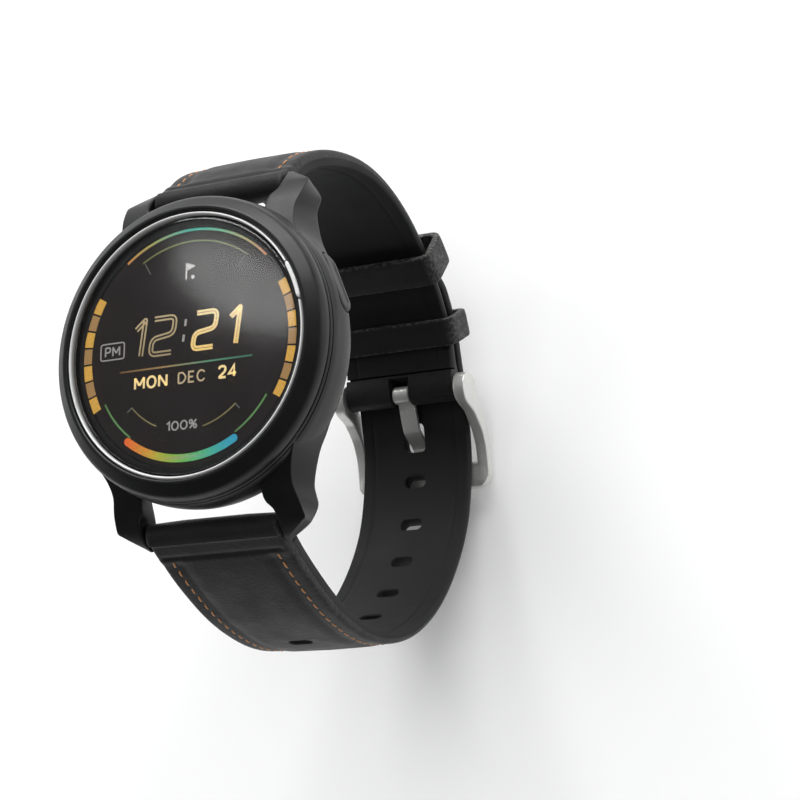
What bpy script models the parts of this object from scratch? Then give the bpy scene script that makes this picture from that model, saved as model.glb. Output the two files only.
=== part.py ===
"""Golf GPS watch: a round case with four lugs, its inner stack, and a buckled two-piece band.

Lengths are in millimetres and are scaled to metres as each mesh is made. The origin is the centre of the
back cover's outer face, +Z is the dial's normal, +Y is 12 o'clock and +X is 3 o'clock.
"""
import math

import bmesh
import bpy
from mathutils import Matrix, Vector

MM = 0.001
ROUND = 64
INNER_ROUND = 40
SMALL_ROUND = 16
WELD = 0.00001
GAP = 0.3
FINE_GAP = 0.12

# Case, bezel and glass
BORE_R = 19.3
SEAM_R = 22.3
SEAM_Z = 9.9
BEZEL_INNER_R = 19.75
BEZEL_TOP = 12.9
GLASS_R = 18.75
GLASS_LOW = 11.3
GLASS_TOP = 12.45
TRIM_INNER_R = 19.0
TRIM_OUTER_R = 19.5
ACCENT_START = 13.0
ACCENT_END = 30.0
COVER_R = 18.6
COVER_TOP = 1.9
FLANGE_R = 14.6
FLANGE_LOW = 2.2
FLANGE_TOP = 3.6
SCREW_RING_R = 15.9
SCREW_COUNT = 4
SCREW_HOLE_R = 0.85
SCREW_SEAT_R = 1.45
SCREW_SEAT_TOP = 0.95
THREAD_HOLE_R = 0.75
CONTACT_Y = -10.0
CONTACT_PITCH = 3.0
CONTACT_COUNT = 4
CONTACT_R = 0.8

# Display, board and battery: heights of their faces and the radii of the round ones
PANEL_R = 17.5
PANEL_LOW = 9.95
PANEL_TOP = 11.0
GASKET_INNER_R = 17.75
CARRIER_INNER_R = 17.8
CARRIER_OUTER_R = 19.1
BOARD_R = 18.2
BOARD_LOW = 7.65
BOARD_TOP = 8.35
CHIP_LOW = 8.55
CHIP_TOP = 9.3
CAN_TOP = 9.5
MOTOR_R = 4.0
FLEX_HALF_WIDTH = 3.0
FLEX_THICKNESS = 0.16

# Lugs: half of the gap between them, their outline from above and their outline from the side
LUG_INNER_X = 11.2
LUG_PLAN = [(11.2, 12.0), (11.2, 27.2), (12.0, 27.1), (15.0, 25.4), (15.6, 24.4), (15.1, 22.4), (15.2, 20.8),
            (16.3, 18.5), (17.3, 15.8), (18.0, 13.0)]
LUG_SIDE = [(12.0, 2.2), (12.0, 11.4), (13.2, 10.9), (15.8, 9.3), (18.7, 8.0), (22.0, 6.6), (24.7, 4.9),
            (26.9, 2.8), (27.3, 1.6), (26.6, 0.4), (25.2, 0.2), (22.8, 0.7), (19.8, 2.2)]
BAR_Y = 25.2
BAR_Z = 2.2
BAR_HOLE_R = 0.65
BAR_HOLE_DEPTH = 1.6

# Side button
BUTTON_ANGLE = math.radians(21.5)
BUTTON_Z = 5.4
BUTTON_LENGTH = 9.6
BUTTON_HEIGHT = 3.2
BUTTON_FACE_R = 22.95
BUTTON_BACK_R = 21.4
BUTTON_GAP = 0.25
POCKET_FLOOR_R = 20.6
STEM_R = 0.55
STEM_HOLE_R = 1.2
STEM_END = 17.7
CLIP_X = 18.45
CLIP_THICKNESS = 0.4
SEAL_X = 20.0
SEAL_MIDDLE_R = 0.87
SEAL_WIRE_R = 0.2

# Band, as points (y, z) on the mid-line of each strap
PIN = (7.8, -57.0)
SHORT_POINTS = [(BAR_Y, BAR_Z), (30.6, -3.9), (34.5, -14.0), (35.7, -25.5), (32.9, -36.8), (26.3, -47.0),
                (17.5, -54.3), PIN]
LONG_POINTS = [(-BAR_Y, BAR_Z), (-30.2, -5.0), (-35.3, -15.8), (-37.4, -28.0), (-34.8, -41.0), (-27.2, -52.4),
               (-15.5, -60.4), (-2.5, -62.5)]
STRAP_HALF_WIDTH = 10.9
STRAP_END_HALF_WIDTH = 9.9
LUG_END_THICKNESS = 3.6
SHORT_END_THICKNESS = 2.6
LONG_THIN_THICKNESS = 2.2
THIN_FROM = 45.0
LEATHER_SHARE = 0.5
LAYER_GAP = 0.25
BAR_LOOP_R = 1.8
PIN_LOOP_R = 1.9
BAR_R = 0.75
LOOP_BORE_R = 0.95
LINING_START = 3.4
LINING_END = 3.6
STATION = 3.0
TIP_LENGTH = 8.0
NARROW_FROM = 6.0
NARROW_TO = 75.0
WINDOW_LOW_X = 5.4
WINDOW_HIGH_X = 9.6
TAIL_LENGTH = 23.0
HOLE_PITCH = 8.0
HOLE_COUNT = 9
HOLE_WIDTH = 3.8
HOLE_LENGTH = 1.8
TONGUE_HOLE_LENGTH = 4.9

# Buckle and keepers
PIN_R = 0.75
ARM_INNER_X = 10.4
ARM_OUTER_X = 12.4
ARM_POINTS = [PIN, (4.3, -61.1), (0.3, -63.9), (-5.2, -65.2)]
ARM_RADII = [2.7, 1.6, 1.15, 0.95]
OUTER_BAR = [(-3.9, -64.95), (-6.8, -65.25)]
OUTER_BAR_R = 0.9
TONGUE_POINTS = [(7.3, -58.0), (2.9, -59.9), (1.9, -60.7), (0.3, -63.4), (-1.3, -65.2), (-3.9, -67.0),
                 (-7.4, -67.4)]
TONGUE_CROSSING = (1.25, -62.0)
TONGUE_THICKNESS = 0.9
TONGUE_WIDTH = 3.0
TONGUE_EYE_R = 1.5
NOTCH_WIDTH = 3.7
KEEPER_WALL = 1.2
KEEPER_SIDE_PLAY = 0.75
KEEPER_INNER_CORNER = 0.9
KEEPER_OUTER_CORNER = 2.0
FIXED_KEEPER_AT = 10.2
FIXED_KEEPER_LENGTH = 4.6
FIXED_KEEPER_PLAY = 0.35
FREE_KEEPER_AT = 22.5
FREE_KEEPER_PLAY = 0.5
FREE_KEEPER_LENGTH = 5.4

# Quick-release bars, along X
BAR_TUBE_HALF = 10.3
BAR_TUBE_BORE_R = 0.55
BAR_TUBE_BORE_END = 2.2
BAR_TIP_REACH = 1.1
BAR_FIXED_TIP_R = 0.45
BAR_TIP_R = 0.42
BAR_TIP_START = 7.2
LEVER_X = 8.6
LEVER_R = 0.35
LEVER_DROP = 2.3
COIL_START = 2.6
COIL_LENGTH = 2.2
COIL_TURNS = 5
COIL_STEPS = 8
COIL_R = 0.35
COIL_WIRE_R = 0.08

PARTS = None
CUTTERS = None


# Scene and materials

def clear_scene():
    for old in list(bpy.data.objects):
        bpy.data.objects.remove(old, do_unlink=True)


def new_collection(name):
    made = bpy.data.collections.new(name)
    bpy.context.scene.collection.children.link(made)
    return made


def material(name, colour, roughness, metallic=0.0, alpha=1.0):
    made = bpy.data.materials.get(name)
    if made:
        return made
    made = bpy.data.materials.new(name)
    made.use_nodes = True
    shader = made.node_tree.nodes["Principled BSDF"]
    shader.inputs["Base Color"].default_value = (*colour, 1.0)
    shader.inputs["Roughness"].default_value = roughness
    shader.inputs["Metallic"].default_value = metallic
    shader.inputs["Alpha"].default_value = alpha
    return made


def black_case():
    return material("case_black", (0.025, 0.026, 0.028), 0.35, 0.6)


def steel():
    return material("steel", (0.72, 0.72, 0.70), 0.3, 1.0)


def dark_steel():
    return material("dark_steel", (0.25, 0.25, 0.26), 0.35, 1.0)


def leather():
    return material("leather_black", (0.03, 0.03, 0.031), 0.6)


def rubber():
    return material("rubber_black", (0.02, 0.02, 0.021), 0.75)


def chip():
    return material("chip_black", (0.03, 0.03, 0.035), 0.45)


# Modelling helpers

def place(obj, collection, paint=None):
    collection.objects.link(obj)
    if collection is CUTTERS:
        obj.hide_render = True
        obj.display_type = "WIRE"
    if paint:
        obj.data.materials.append(paint)
    return obj


def mesh_object(name, vertices, faces, edges=()):
    mesh = bpy.data.meshes.new(name)
    mesh.from_pydata([Vector(v) * MM for v in vertices], list(edges), faces)
    mesh.update()
    return bpy.data.objects.new(name, mesh)


def turned(name, profile, paint=None, steps=ROUND, closed=True, axis="Z", at=(0, 0, 0)):
    """A profile of (radius, height) points turned about the object's own Z axis, then laid along an axis."""
    points = [(r, 0.0, z) for r, z in profile]
    edges = [(i, i + 1) for i in range(len(points) - 1)]
    if closed:
        edges.append((len(points) - 1, 0))
    obj = mesh_object(name, points, [], edges)
    screw = obj.modifiers.new("Turn", "SCREW")
    screw.steps = steps
    screw.render_steps = steps
    screw.use_merge_vertices = True
    screw.merge_threshold = WELD
    screw.use_smooth_shade = True
    if axis == "X":
        obj.rotation_euler = (0.0, math.pi / 2, 0.0)
    obj.location = Vector(at) * MM
    return place(obj, PARTS if paint else CUTTERS, paint)


def rod(name, radius, low, high, at=(0, 0), paint=None, axis="Z", steps=SMALL_ROUND):
    """A solid cylinder from low to high along an axis; at gives its place across that axis."""
    profile = [(0.0, high), (radius, high), (radius, low), (0.0, low)]
    spot = (at[0], at[1], 0) if axis == "Z" else (0, at[0], at[1])
    return turned(name, profile, paint, steps, closed=False, axis=axis, at=spot)


def box(name, low, high, paint=None):
    bpy.ops.mesh.primitive_cube_add(size=1.0)
    obj = bpy.context.object
    obj.users_collection[0].objects.unlink(obj)
    obj.name = name
    low = Vector(low) * MM
    high = Vector(high) * MM
    obj.data.transform(Matrix.Diagonal((*(high - low), 1.0)))
    obj.location = (low + high) / 2
    return place(obj, PARTS if paint else CUTTERS, paint)


def outline_curve(name, outlines, half_depth):
    curve = bpy.data.curves.new(name, "CURVE")
    curve.dimensions = "2D"
    curve.fill_mode = "BOTH"
    curve.extrude = half_depth * MM
    for outline in outlines:
        spline = curve.splines.new("POLY")
        spline.points.add(len(outline) - 1)
        spline.use_cyclic_u = True
        for point, (a, b) in zip(spline.points, outline):
            point.co = (a * MM, b * MM, 0.0, 1.0)
    return bpy.data.objects.new(name, curve)


def as_mesh(obj, paint=None):
    """The evaluated object as a welded mesh in the same place; the curve is removed."""
    name = obj.name
    if not obj.users_collection:
        bpy.context.scene.collection.objects.link(obj)
    bpy.context.view_layer.update()
    seen = obj.evaluated_get(bpy.context.evaluated_depsgraph_get())
    mesh = bpy.data.meshes.new_from_object(seen)
    weld(mesh)
    matrix = obj.matrix_world.copy()
    bpy.data.objects.remove(obj, do_unlink=True)
    made = bpy.data.objects.new(name, mesh)
    made.name = name
    made.matrix_world = matrix
    return place(made, PARTS if paint else CUTTERS, paint)


def weld(mesh):
    work = bmesh.new()
    work.from_mesh(mesh)
    bmesh.ops.remove_doubles(work, verts=work.verts, dist=WELD)
    work.to_mesh(mesh)
    work.free()


def plate(name, outlines, low, high, paint=None):
    """Flat outlines of (x, y) points, extruded in z from low to high."""
    obj = outline_curve(name, outlines, (high - low) / 2)
    obj.location = (0.0, 0.0, (low + high) / 2 * MM)
    return as_mesh(obj, paint)


def side_plate(name, outlines, low, high, paint=None):
    """Flat outlines of (y, z) points, extruded in x from low to high."""
    obj = outline_curve(name, outlines, (high - low) / 2)
    turn = Matrix(((0, 0, 1), (1, 0, 0), (0, 1, 0))).to_4x4()
    obj.matrix_world = Matrix.Translation(((low + high) / 2 * MM, 0, 0)) @ turn
    return as_mesh(obj, paint)


def boolean(obj, tool, operation):
    modifier = obj.modifiers.new(tool.name, "BOOLEAN")
    modifier.operation = operation
    modifier.solver = "EXACT"
    modifier.object = tool
    return obj


def cut(obj, *tools):
    for tool in tools:
        boolean(obj, tool, "DIFFERENCE")
    return obj


def join(obj, *tools):
    for tool in tools:
        boolean(obj, tool, "UNION")
    return obj


def smooth(obj, degrees=35.0):
    obj.data.shade_smooth()
    obj.data.set_sharp_from_angle(angle=math.radians(degrees))
    return obj


# Outlines and paths

def arc(centre, radius, start, end, count):
    """Points on a circle from one angle to another, in degrees."""
    angles = [math.radians(start + (end - start) * i / count) for i in range(count + 1)]
    return [(centre[0] + radius * math.cos(a), centre[1] + radius * math.sin(a)) for a in angles]


def rounded_rectangle(left, low, right, high, radius, count=5):
    corners = [(right - radius, high - radius, 0), (left + radius, high - radius, 90),
               (left + radius, low + radius, 180), (right - radius, low + radius, 270)]
    points = []
    for y, z, start in corners:
        points += arc((y, z), radius, start, start + 90, count)
    return points


def spline_points(points, step):
    """A smooth curve through the points, with a point about every step along it."""
    first = tuple(2 * a - b for a, b in zip(points[0], points[1]))
    last = tuple(2 * a - b for a, b in zip(points[-1], points[-2]))
    guides = [Vector(p) for p in (first, *points, last)]
    dense = []
    for a, b, c, d in zip(guides, guides[1:], guides[2:], guides[3:]):
        for i in range(40):
            t = i / 40
            dense.append(0.5 * (2 * b + (c - a) * t + (2 * a - 5 * b + 4 * c - d) * t * t
                                + (3 * b - a - 3 * c + d) * t ** 3))
    dense.append(guides[-2])
    return resample(dense, step)


def resample(dense, step):
    """The same line with evenly spaced points."""
    lengths = [0.0]
    for a, b in zip(dense, dense[1:]):
        lengths.append(lengths[-1] + (b - a).length)
    count = max(2, round(lengths[-1] / step))
    points = []
    index = 0
    for i in range(count + 1):
        target = lengths[-1] * i / count
        while index < len(dense) - 2 and lengths[index + 1] < target:
            index += 1
        span = lengths[index + 1] - lengths[index]
        points.append(dense[index].lerp(dense[index + 1], (target - lengths[index]) / span))
    return points


def normals(path, outward):
    """The unit normals of a path; outward is 1 or -1, for the side that faces away from the wrist."""
    found = []
    for i in range(len(path)):
        run = path[min(i + 1, len(path) - 1)] - path[max(i - 1, 0)]
        found.append(outward * Vector((-run.y, run.x)).normalized())
    return found


def distances(path):
    total = [0.0]
    for a, b in zip(path, path[1:]):
        total.append(total[-1] + (b - a).length)
    return total


def at_distance(path, target):
    """The point at a distance along a path, and the path's direction there."""
    along = distances(path)
    for a, b, start, end in zip(path, path[1:], along, along[1:]):
        if end >= target:
            return a.lerp(b, (target - start) / (end - start)), (b - a).normalized()
    return path[-1], (path[-1] - path[-2]).normalized()


def nearest_distance(path, spot):
    """The distance along a path of its point nearest to a spot."""
    steps = [0.1 * index for index in range(int(distances(path)[-1] / 0.1))]
    return min(steps, key=lambda s: (at_distance(path, s)[0] - Vector(spot)).length)


def tapered_outline(path, radii, count=8):
    """The outline of a bar in one plane whose half-thickness changes along its path, with round ends."""
    left = [p + n * r for p, n, r in zip(path, normals(path, 1), radii)]
    right = [p - n * r for p, n, r in zip(path, normals(path, 1), radii)]
    run = (path[-1] - path[-2]).normalized()
    heading = math.degrees(math.atan2(run.y, run.x))
    far = arc(path[-1], radii[-1], heading + 90, heading - 90, count)
    run = (path[0] - path[1]).normalized()
    heading = math.degrees(math.atan2(run.y, run.x))
    near = arc(path[0], radii[0], heading + 90, heading - 90, count)
    return [tuple(p) for p in left[1:-1]] + far + [tuple(p) for p in reversed(right[1:-1])] + near


def ramp(value, low, high, start, end):
    """A value that goes smoothly from start to end while the first argument goes from low to high."""
    t = min(1.0, max(0.0, (value - low) / (high - low)))
    t = t * t * (3 - 2 * t)
    return start + (end - start) * t


# Case

def case_profile():
    return [(BORE_R, SEAM_Z), (SEAM_R, SEAM_Z), (22.6, 8.4), (22.6, 6.0), (22.35, 4.2), (21.7, 2.7),
            (20.6, 1.8), (COVER_R + GAP, 1.5), (COVER_R + GAP, FLANGE_LOW), (FLANGE_R, FLANGE_LOW),
            (FLANGE_R, FLANGE_TOP), (BORE_R, FLANGE_TOP)]


def lugs():
    """Four lugs, each the shape that fits both the plan outline and the side outline."""
    plan = plate("lug_plan", [LUG_PLAN], -2.0, 13.0)
    side = side_plate("lug_side", [LUG_SIDE], LUG_INNER_X - 1.0, 20.0)
    boolean(plan, side, "INTERSECT")
    for axis in range(2):
        mirror = plan.modifiers.new("Mirror", "MIRROR")
        mirror.use_axis = [index == axis for index in range(3)]
        mirror.merge_threshold = WELD
    cut(plan, rod("lug_bezel_clearance", SEAM_R, SEAM_Z, 14.0, steps=ROUND))
    cut(plan, rod("lug_bore_clearance", BORE_R + 1.0, 1.0, 14.0, steps=ROUND))
    return plan


def mid_case():
    case = turned("mid_case", case_profile(), black_case())
    join(case, lugs())
    for side in (-1, 1):
        reach = LUG_INNER_X + BAR_HOLE_DEPTH
        cut(case, rod(f"bar_hole_cutter_{side}", BAR_HOLE_R, -reach, reach, (side * BAR_Y, BAR_Z), axis="X"))
    pocket = button_slot("button_pocket", BUTTON_GAP, POCKET_FLOOR_R, BUTTON_FACE_R + 2)
    stem_hole = rod("stem_hole", STEM_HOLE_R, BORE_R - 2, POCKET_FLOOR_R + 1, (0, 0), axis="X")
    turn_to_button(stem_hole)
    cut(case, pocket, stem_hole)
    for index, (x, y) in enumerate(screw_places()):
        cut(case, rod(f"thread_hole_{index}", THREAD_HOLE_R, FLANGE_LOW - 1, FLANGE_TOP + 1, (x, y)))
    return case


def bezel():
    profile = [(BEZEL_INNER_R, 12.5), (20.35, BEZEL_TOP), (21.1, 12.8), (21.7, 12.35), (22.0, 11.6),
               (22.05, SEAM_Z + GAP), (BEZEL_INNER_R, SEAM_Z + GAP)]
    return turned("bezel", profile, black_case())


def trim_ring():
    """A thin bright ring, broken beside the button, where a thicker accent piece fills the break."""
    profile = [(TRIM_INNER_R, 12.6), (19.25, 12.72), (TRIM_OUTER_R, 12.6), (TRIM_OUTER_R, 11.6),
               (TRIM_INNER_R, 11.6)]
    trim = turned("trim_ring", profile, steel())
    cut(trim, plate("trim_break", [arc_band(18.0, 21.0, ACCENT_START - 1.0, ACCENT_END + 1.0)], 11.0, 13.5))
    accent = arc_band(TRIM_INNER_R, TRIM_OUTER_R + 0.12, ACCENT_START, ACCENT_END)
    return plate("trim_accent", [accent], 11.9, 12.85, steel())


def arc_band(inner, outer, start, end):
    """The outline between two radii and two angles."""
    return arc((0, 0), outer, start, end, 6) + arc((0, 0), inner, end, start, 6)


def glass_lens():
    profile = [(0.0, GLASS_TOP), (GLASS_R - 0.4, GLASS_TOP), (GLASS_R, GLASS_TOP - 0.3), (GLASS_R, GLASS_LOW),
               (0.0, GLASS_LOW)]
    paint = material("glass_black", (0.02, 0.02, 0.022), 0.05, alpha=0.35)
    return turned("glass_lens", profile, paint, closed=False)


def ring(name, inner, outer, low, high, paint, steps=INNER_ROUND):
    return turned(name, [(inner, high), (outer, high), (outer, low), (inner, low)], paint, steps)


def display_stack():
    ring("lens_gasket", GASKET_INNER_R, 18.6, 11.08, 11.22, rubber())
    lit = material("display", (0.05, 0.045, 0.04), 0.2)
    rod("display_panel", PANEL_R, PANEL_LOW, PANEL_TOP, paint=lit, steps=INNER_ROUND)
    ring("display_carrier", CARRIER_INNER_R, CARRIER_OUTER_R, 8.65, 10.85, chip())
    route = [(-11.0, 9.7), (-15.2, 9.7), (-15.9, 9.45), (-15.9, 8.95), (-15.2, 8.7), (-12.0, 8.7)]
    flex = resample([Vector(p) for p in route], 0.8)
    outline = tapered_outline(flex, [FLEX_THICKNESS / 2] * len(flex), 4)
    amber = material("flex_amber", (0.5, 0.25, 0.05), 0.4)
    side_plate("display_flex", [outline], -FLEX_HALF_WIDTH, FLEX_HALF_WIDTH, amber)


def back_cover():
    profile = [(0.0, COVER_TOP), (17.0, COVER_TOP), (17.0, 1.35), (COVER_R, 1.35), (COVER_R, 1.0),
               (17.2, 0.0), (0.0, 0.0)]
    cover = turned("back_cover", profile, material("cover_black", (0.03, 0.03, 0.03), 0.5), closed=False)
    for index, (x, y) in enumerate(screw_places()):
        cut(cover, rod(f"screw_hole_{index}", SCREW_HOLE_R, -1, COVER_TOP + 1, (x, y)))
        cut(cover, rod(f"screw_seat_{index}", SCREW_SEAT_R, -1, SCREW_SEAT_TOP, (x, y)))
    for index, x in enumerate(contact_places()):
        cut(cover, rod(f"contact_hole_{index}", CONTACT_R + FINE_GAP, -1, COVER_TOP + 1, (x, CONTACT_Y)))
    return cover


def screw_places():
    angles = [math.radians(45 + 360 * index / SCREW_COUNT) for index in range(SCREW_COUNT)]
    return [(SCREW_RING_R * math.cos(a), SCREW_RING_R * math.sin(a)) for a in angles]


def contact_places():
    middle = (CONTACT_COUNT - 1) / 2
    return [(index - middle) * CONTACT_PITCH for index in range(CONTACT_COUNT)]


def back_cover_screws():
    profile = [(0.0, 3.4), (0.6, 3.4), (0.6, 0.8), (1.25, 0.8), (1.25, 0.15), (0.45, 0.15), (0.45, 0.55),
               (0.0, 0.55)]
    for index, (x, y) in enumerate(screw_places(), 1):
        turned(f"back_cover_screw_{index}", profile, dark_steel(), SMALL_ROUND, closed=False, at=(x, y, 0))


def charging_contacts():
    gold = material("gold", (0.8, 0.6, 0.25), 0.25, 1.0)
    for index, x in enumerate(contact_places(), 1):
        rod(f"charging_contact_{index}", CONTACT_R, 0.1, 2.6, (x, CONTACT_Y), gold)


def electronics():
    green = material("board_green", (0.02, 0.12, 0.06), 0.5)
    board = rod("main_board", BOARD_R, BOARD_LOW, BOARD_TOP, paint=green, steps=48)
    cut(board, box("board_notch", (14.6, 2.0, 7.0), (20.0, 9.5, 9.0)))
    box("shield_can", (-13.0, -8.0, CHIP_LOW), (-3.5, 3.0, CAN_TOP), dark_steel())
    box("processor", (0.5, -6.0, CHIP_LOW), (7.0, 0.5, CHIP_TOP), chip())
    box("memory_chip", (0.5, 2.5, CHIP_LOW), (6.0, 6.5, CHIP_TOP), chip())
    ceramic = material("ceramic", (0.75, 0.7, 0.6), 0.5)
    box("gps_antenna", (-8.0, 6.0, CHIP_LOW), (-1.0, 13.0, CAN_TOP), ceramic)
    box("battery", (-13.3, -12.0, 3.9), (7.7, 12.0, 7.35), material("foil", (0.6, 0.6, 0.62), 0.3, 1.0))
    rod("vibration_motor", MOTOR_R, 3.95, 6.7, (13.1, -5.6), dark_steel(), steps=32)


def turn_to_button(obj):
    """Lays a piece that was made along +X on the button's own radius."""
    turn = Matrix.Rotation(BUTTON_ANGLE, 4, "Z")
    obj.matrix_world = turn @ Matrix.Translation((0, 0, BUTTON_Z * MM)) @ obj.matrix_basis
    return obj


def button_slot(name, margin, low, high, paint=None):
    half_length = BUTTON_LENGTH / 2 + margin
    half_height = BUTTON_HEIGHT / 2 + margin
    outline = rounded_rectangle(-half_length, -half_height, half_length, half_height, half_height - 0.01, 8)
    return turn_to_button(side_plate(name, [outline], low, high, paint))


def button():
    cap = button_slot("button_cap", 0.0, BUTTON_BACK_R, BUTTON_FACE_R + 1, black_case())
    boolean(cap, rod("button_face_curve", BUTTON_FACE_R, -2, 14, steps=ROUND), "INTERSECT")
    stem = turn_to_button(rod("button_stem_tool", STEM_R, STEM_END, BUTTON_BACK_R + 0.5, axis="X"))
    join(cap, stem)
    seal = [(SEAL_MIDDLE_R + SEAL_WIRE_R * math.cos(a), SEAL_X + SEAL_WIRE_R * math.sin(a))
            for a in (math.tau * (0.25 - i / 10) for i in range(10))]
    turn_to_button(turned("button_seal", seal, rubber(), SMALL_ROUND, axis="X"))
    clip = [(0.65, CLIP_X + CLIP_THICKNESS), (1.6, CLIP_X + CLIP_THICKNESS), (1.6, CLIP_X), (0.65, CLIP_X)]
    turn_to_button(turned("button_clip", clip, steel(), SMALL_ROUND, axis="X"))
    switch = box("button_switch", (15.7, -1.6, -1.3), (17.0, 1.6, 1.3), chip())
    turn_to_button(switch)


# Band

def short_path():
    return spline_points(SHORT_POINTS, STATION)


def long_path():
    """From the lower bar round the wrist, then outside the short strap to the tail's tip."""
    short = short_path()[::-1]
    outward = normals(short, -1)
    tail = []
    for point, normal, along in zip(short, outward, distances(short)):
        stand_off = ramp(along, 0.0, 7.0, PIN_LOOP_R, SHORT_END_THICKNESS / 2)
        if along <= TAIL_LENGTH + STATION:
            tail.append(tuple(point + normal * (stand_off + GAP + 0.05 + LONG_THIN_THICKNESS / 2)))
    path = spline_points(LONG_POINTS + tail, STATION)
    tip_at = distances(path)[-1] - STATION / 2
    return trimmed(path, 0.0, tip_at)


def trimmed(path, start, end):
    """The stretch of a path between two distances."""
    along = distances(path)
    inside = [p for p, s in zip(path, along) if start + 0.4 < s < end - 0.4]
    return [at_distance(path, start)[0], *inside, at_distance(path, end)[0]]


def short_thickness(s):
    return ramp(s, 0.0, THIN_FROM, LUG_END_THICKNESS, SHORT_END_THICKNESS)


def long_thickness(s):
    return ramp(s, 0.0, THIN_FROM, LUG_END_THICKNESS, LONG_THIN_THICKNESS)


def half_width(s, total):
    return ramp(s, NARROW_FROM, min(total, NARROW_TO), STRAP_HALF_WIDTH, STRAP_END_HALF_WIDTH)


def strap_layer(name, path, outward, thickness, layer, start, end, paint, tip=0.0):
    """A lofted layer of a strap. Layer is 1 for the outer leather and -1 for the lining on the wrist side."""
    total = distances(path)[-1]
    piece = trimmed(path, start, end)
    vertices = []
    for point, normal, along in zip(piece, normals(piece, outward), distances(piece)):
        s = start + along
        full = thickness(s)
        middle = full * (0.5 - LEATHER_SHARE)
        near = point + normal * (middle + layer * LAYER_GAP / 2)
        far = point + normal * (layer * full / 2)
        left = max(0.0, end - s)
        width = half_width(s, total)
        if left < tip:
            width *= math.sqrt(1 - ((tip - left) / tip) ** 2) * 0.7 + 0.3
        for side, spot in ((-1, near), (1, near), (1, far), (-1, far)):
            vertices.append((side * width, spot.x, spot.y))
    faces = []
    for ring_start in range(0, len(vertices) - 4, 4):
        for corner in range(4):
            a = ring_start + corner
            b = ring_start + (corner + 1) % 4
            faces.append((a, b, b + 4, a + 4))
    faces.append((3, 2, 1, 0))
    faces.append(tuple(range(len(vertices) - 4, len(vertices))))
    if layer * outward > 0:
        faces = [face[::-1] for face in faces]
    return place(mesh_object(name, vertices, faces), PARTS, paint)


def strap_loop(obj, name, centre, radius, half_length, bore):
    """Adds the rolled end of a strap round a bar, and its bore."""
    join(obj, rod(f"{name}_roll", radius, -half_length, half_length, centre, axis="X", steps=28))
    return cut(obj, rod(f"{name}_bore", bore, -20, 20, centre, axis="X", steps=24))


def lever_window(obj, name, y):
    window = box(f"{name}_window", (WINDOW_LOW_X, y - 1.0, BAR_Z - 4.0), (WINDOW_HIGH_X, y + 1.0, BAR_Z))
    return cut(obj, window)


def short_strap():
    path = short_path()
    total = distances(path)[-1]
    outer = strap_layer("strap_short_leather", path, 1, short_thickness, 1, 0.0, total, leather())
    strap_loop(outer, "short_bar", (BAR_Y, BAR_Z), BAR_LOOP_R, STRAP_HALF_WIDTH, LOOP_BORE_R)
    strap_loop(outer, "short_pin", PIN, PIN_LOOP_R, STRAP_END_HALF_WIDTH, LOOP_BORE_R)
    notch = NOTCH_WIDTH / 2
    cut(outer, box("tongue_notch", (-notch, PIN[0] - 4, PIN[1] - 4), (notch, PIN[0] + 2.6, PIN[1] + 3)))
    lever_window(outer, "short_lever", BAR_Y)
    end = total - LINING_END
    strap_layer("strap_short_lining", path, 1, short_thickness, -1, LINING_START, end, rubber())


def hole_places(path):
    """Distances of the holes along the long strap: the last one is where the tongue goes through."""
    last = nearest_distance(path, TONGUE_CROSSING)
    return [last - HOLE_PITCH * index for index in range(HOLE_COUNT)]


def strap_hole_cutter(path, index, target):
    point, run = at_distance(path, target)
    length = TONGUE_HOLE_LENGTH if index == 0 else HOLE_LENGTH
    radius = HOLE_LENGTH / 2 - 0.02
    outline = rounded_rectangle(-HOLE_WIDTH / 2, -length / 2, HOLE_WIDTH / 2, length / 2, radius, 4)
    obj = outline_curve(f"strap_hole_{index}", [outline], 4.0)
    across = Vector((1.0, 0.0, 0.0))
    along = Vector((0.0, run.x, run.y))
    turn = Matrix((across, along, across.cross(along))).transposed().to_4x4()
    obj.matrix_world = Matrix.Translation(Vector((0.0, point.x, point.y)) * MM) @ turn
    return as_mesh(obj)


def long_strap():
    path = long_path()
    total = distances(path)[-1]
    outer = strap_layer("strap_long_leather", path, -1, long_thickness, 1, 0.0, total, leather(),
                        tip=TIP_LENGTH)
    strap_loop(outer, "long_bar", (-BAR_Y, BAR_Z), BAR_LOOP_R, STRAP_HALF_WIDTH, LOOP_BORE_R)
    lever_window(outer, "long_lever", -BAR_Y)
    inner = strap_layer("strap_long_lining", path, -1, long_thickness, -1, LINING_START, total, rubber(),
                        tip=TIP_LENGTH)
    for index, target in enumerate(hole_places(path)):
        cutter = strap_hole_cutter(path, index, target)
        cut(outer, cutter)
        cut(inner, cutter)


def keeper(name, along, length, play):
    """A leather loop round both straps, square to the short strap at a distance from the pin."""
    point, run = at_distance(short_path()[::-1], along)
    low = -SHORT_END_THICKNESS / 2 - play
    high = SHORT_END_THICKNESS / 2 + GAP + LONG_THIN_THICKNESS + play
    half = STRAP_END_HALF_WIDTH + KEEPER_SIDE_PLAY
    inner = rounded_rectangle(-half, low, half, high, KEEPER_INNER_CORNER, 4)
    outer = rounded_rectangle(-half - KEEPER_WALL, low - KEEPER_WALL, half + KEEPER_WALL, high + KEEPER_WALL,
                              KEEPER_OUTER_CORNER, 4)
    obj = outline_curve(name, [outer, inner], length / 2)
    across = Vector((1.0, 0.0, 0.0))
    direction = Vector((0.0, run.x, run.y))
    outward = direction.cross(across)
    turn = Matrix((across, outward, across.cross(outward))).transposed().to_4x4()
    obj.matrix_world = Matrix.Translation(Vector((0.0, point.x, point.y)) * MM) @ turn
    return as_mesh(obj, leather())


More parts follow.
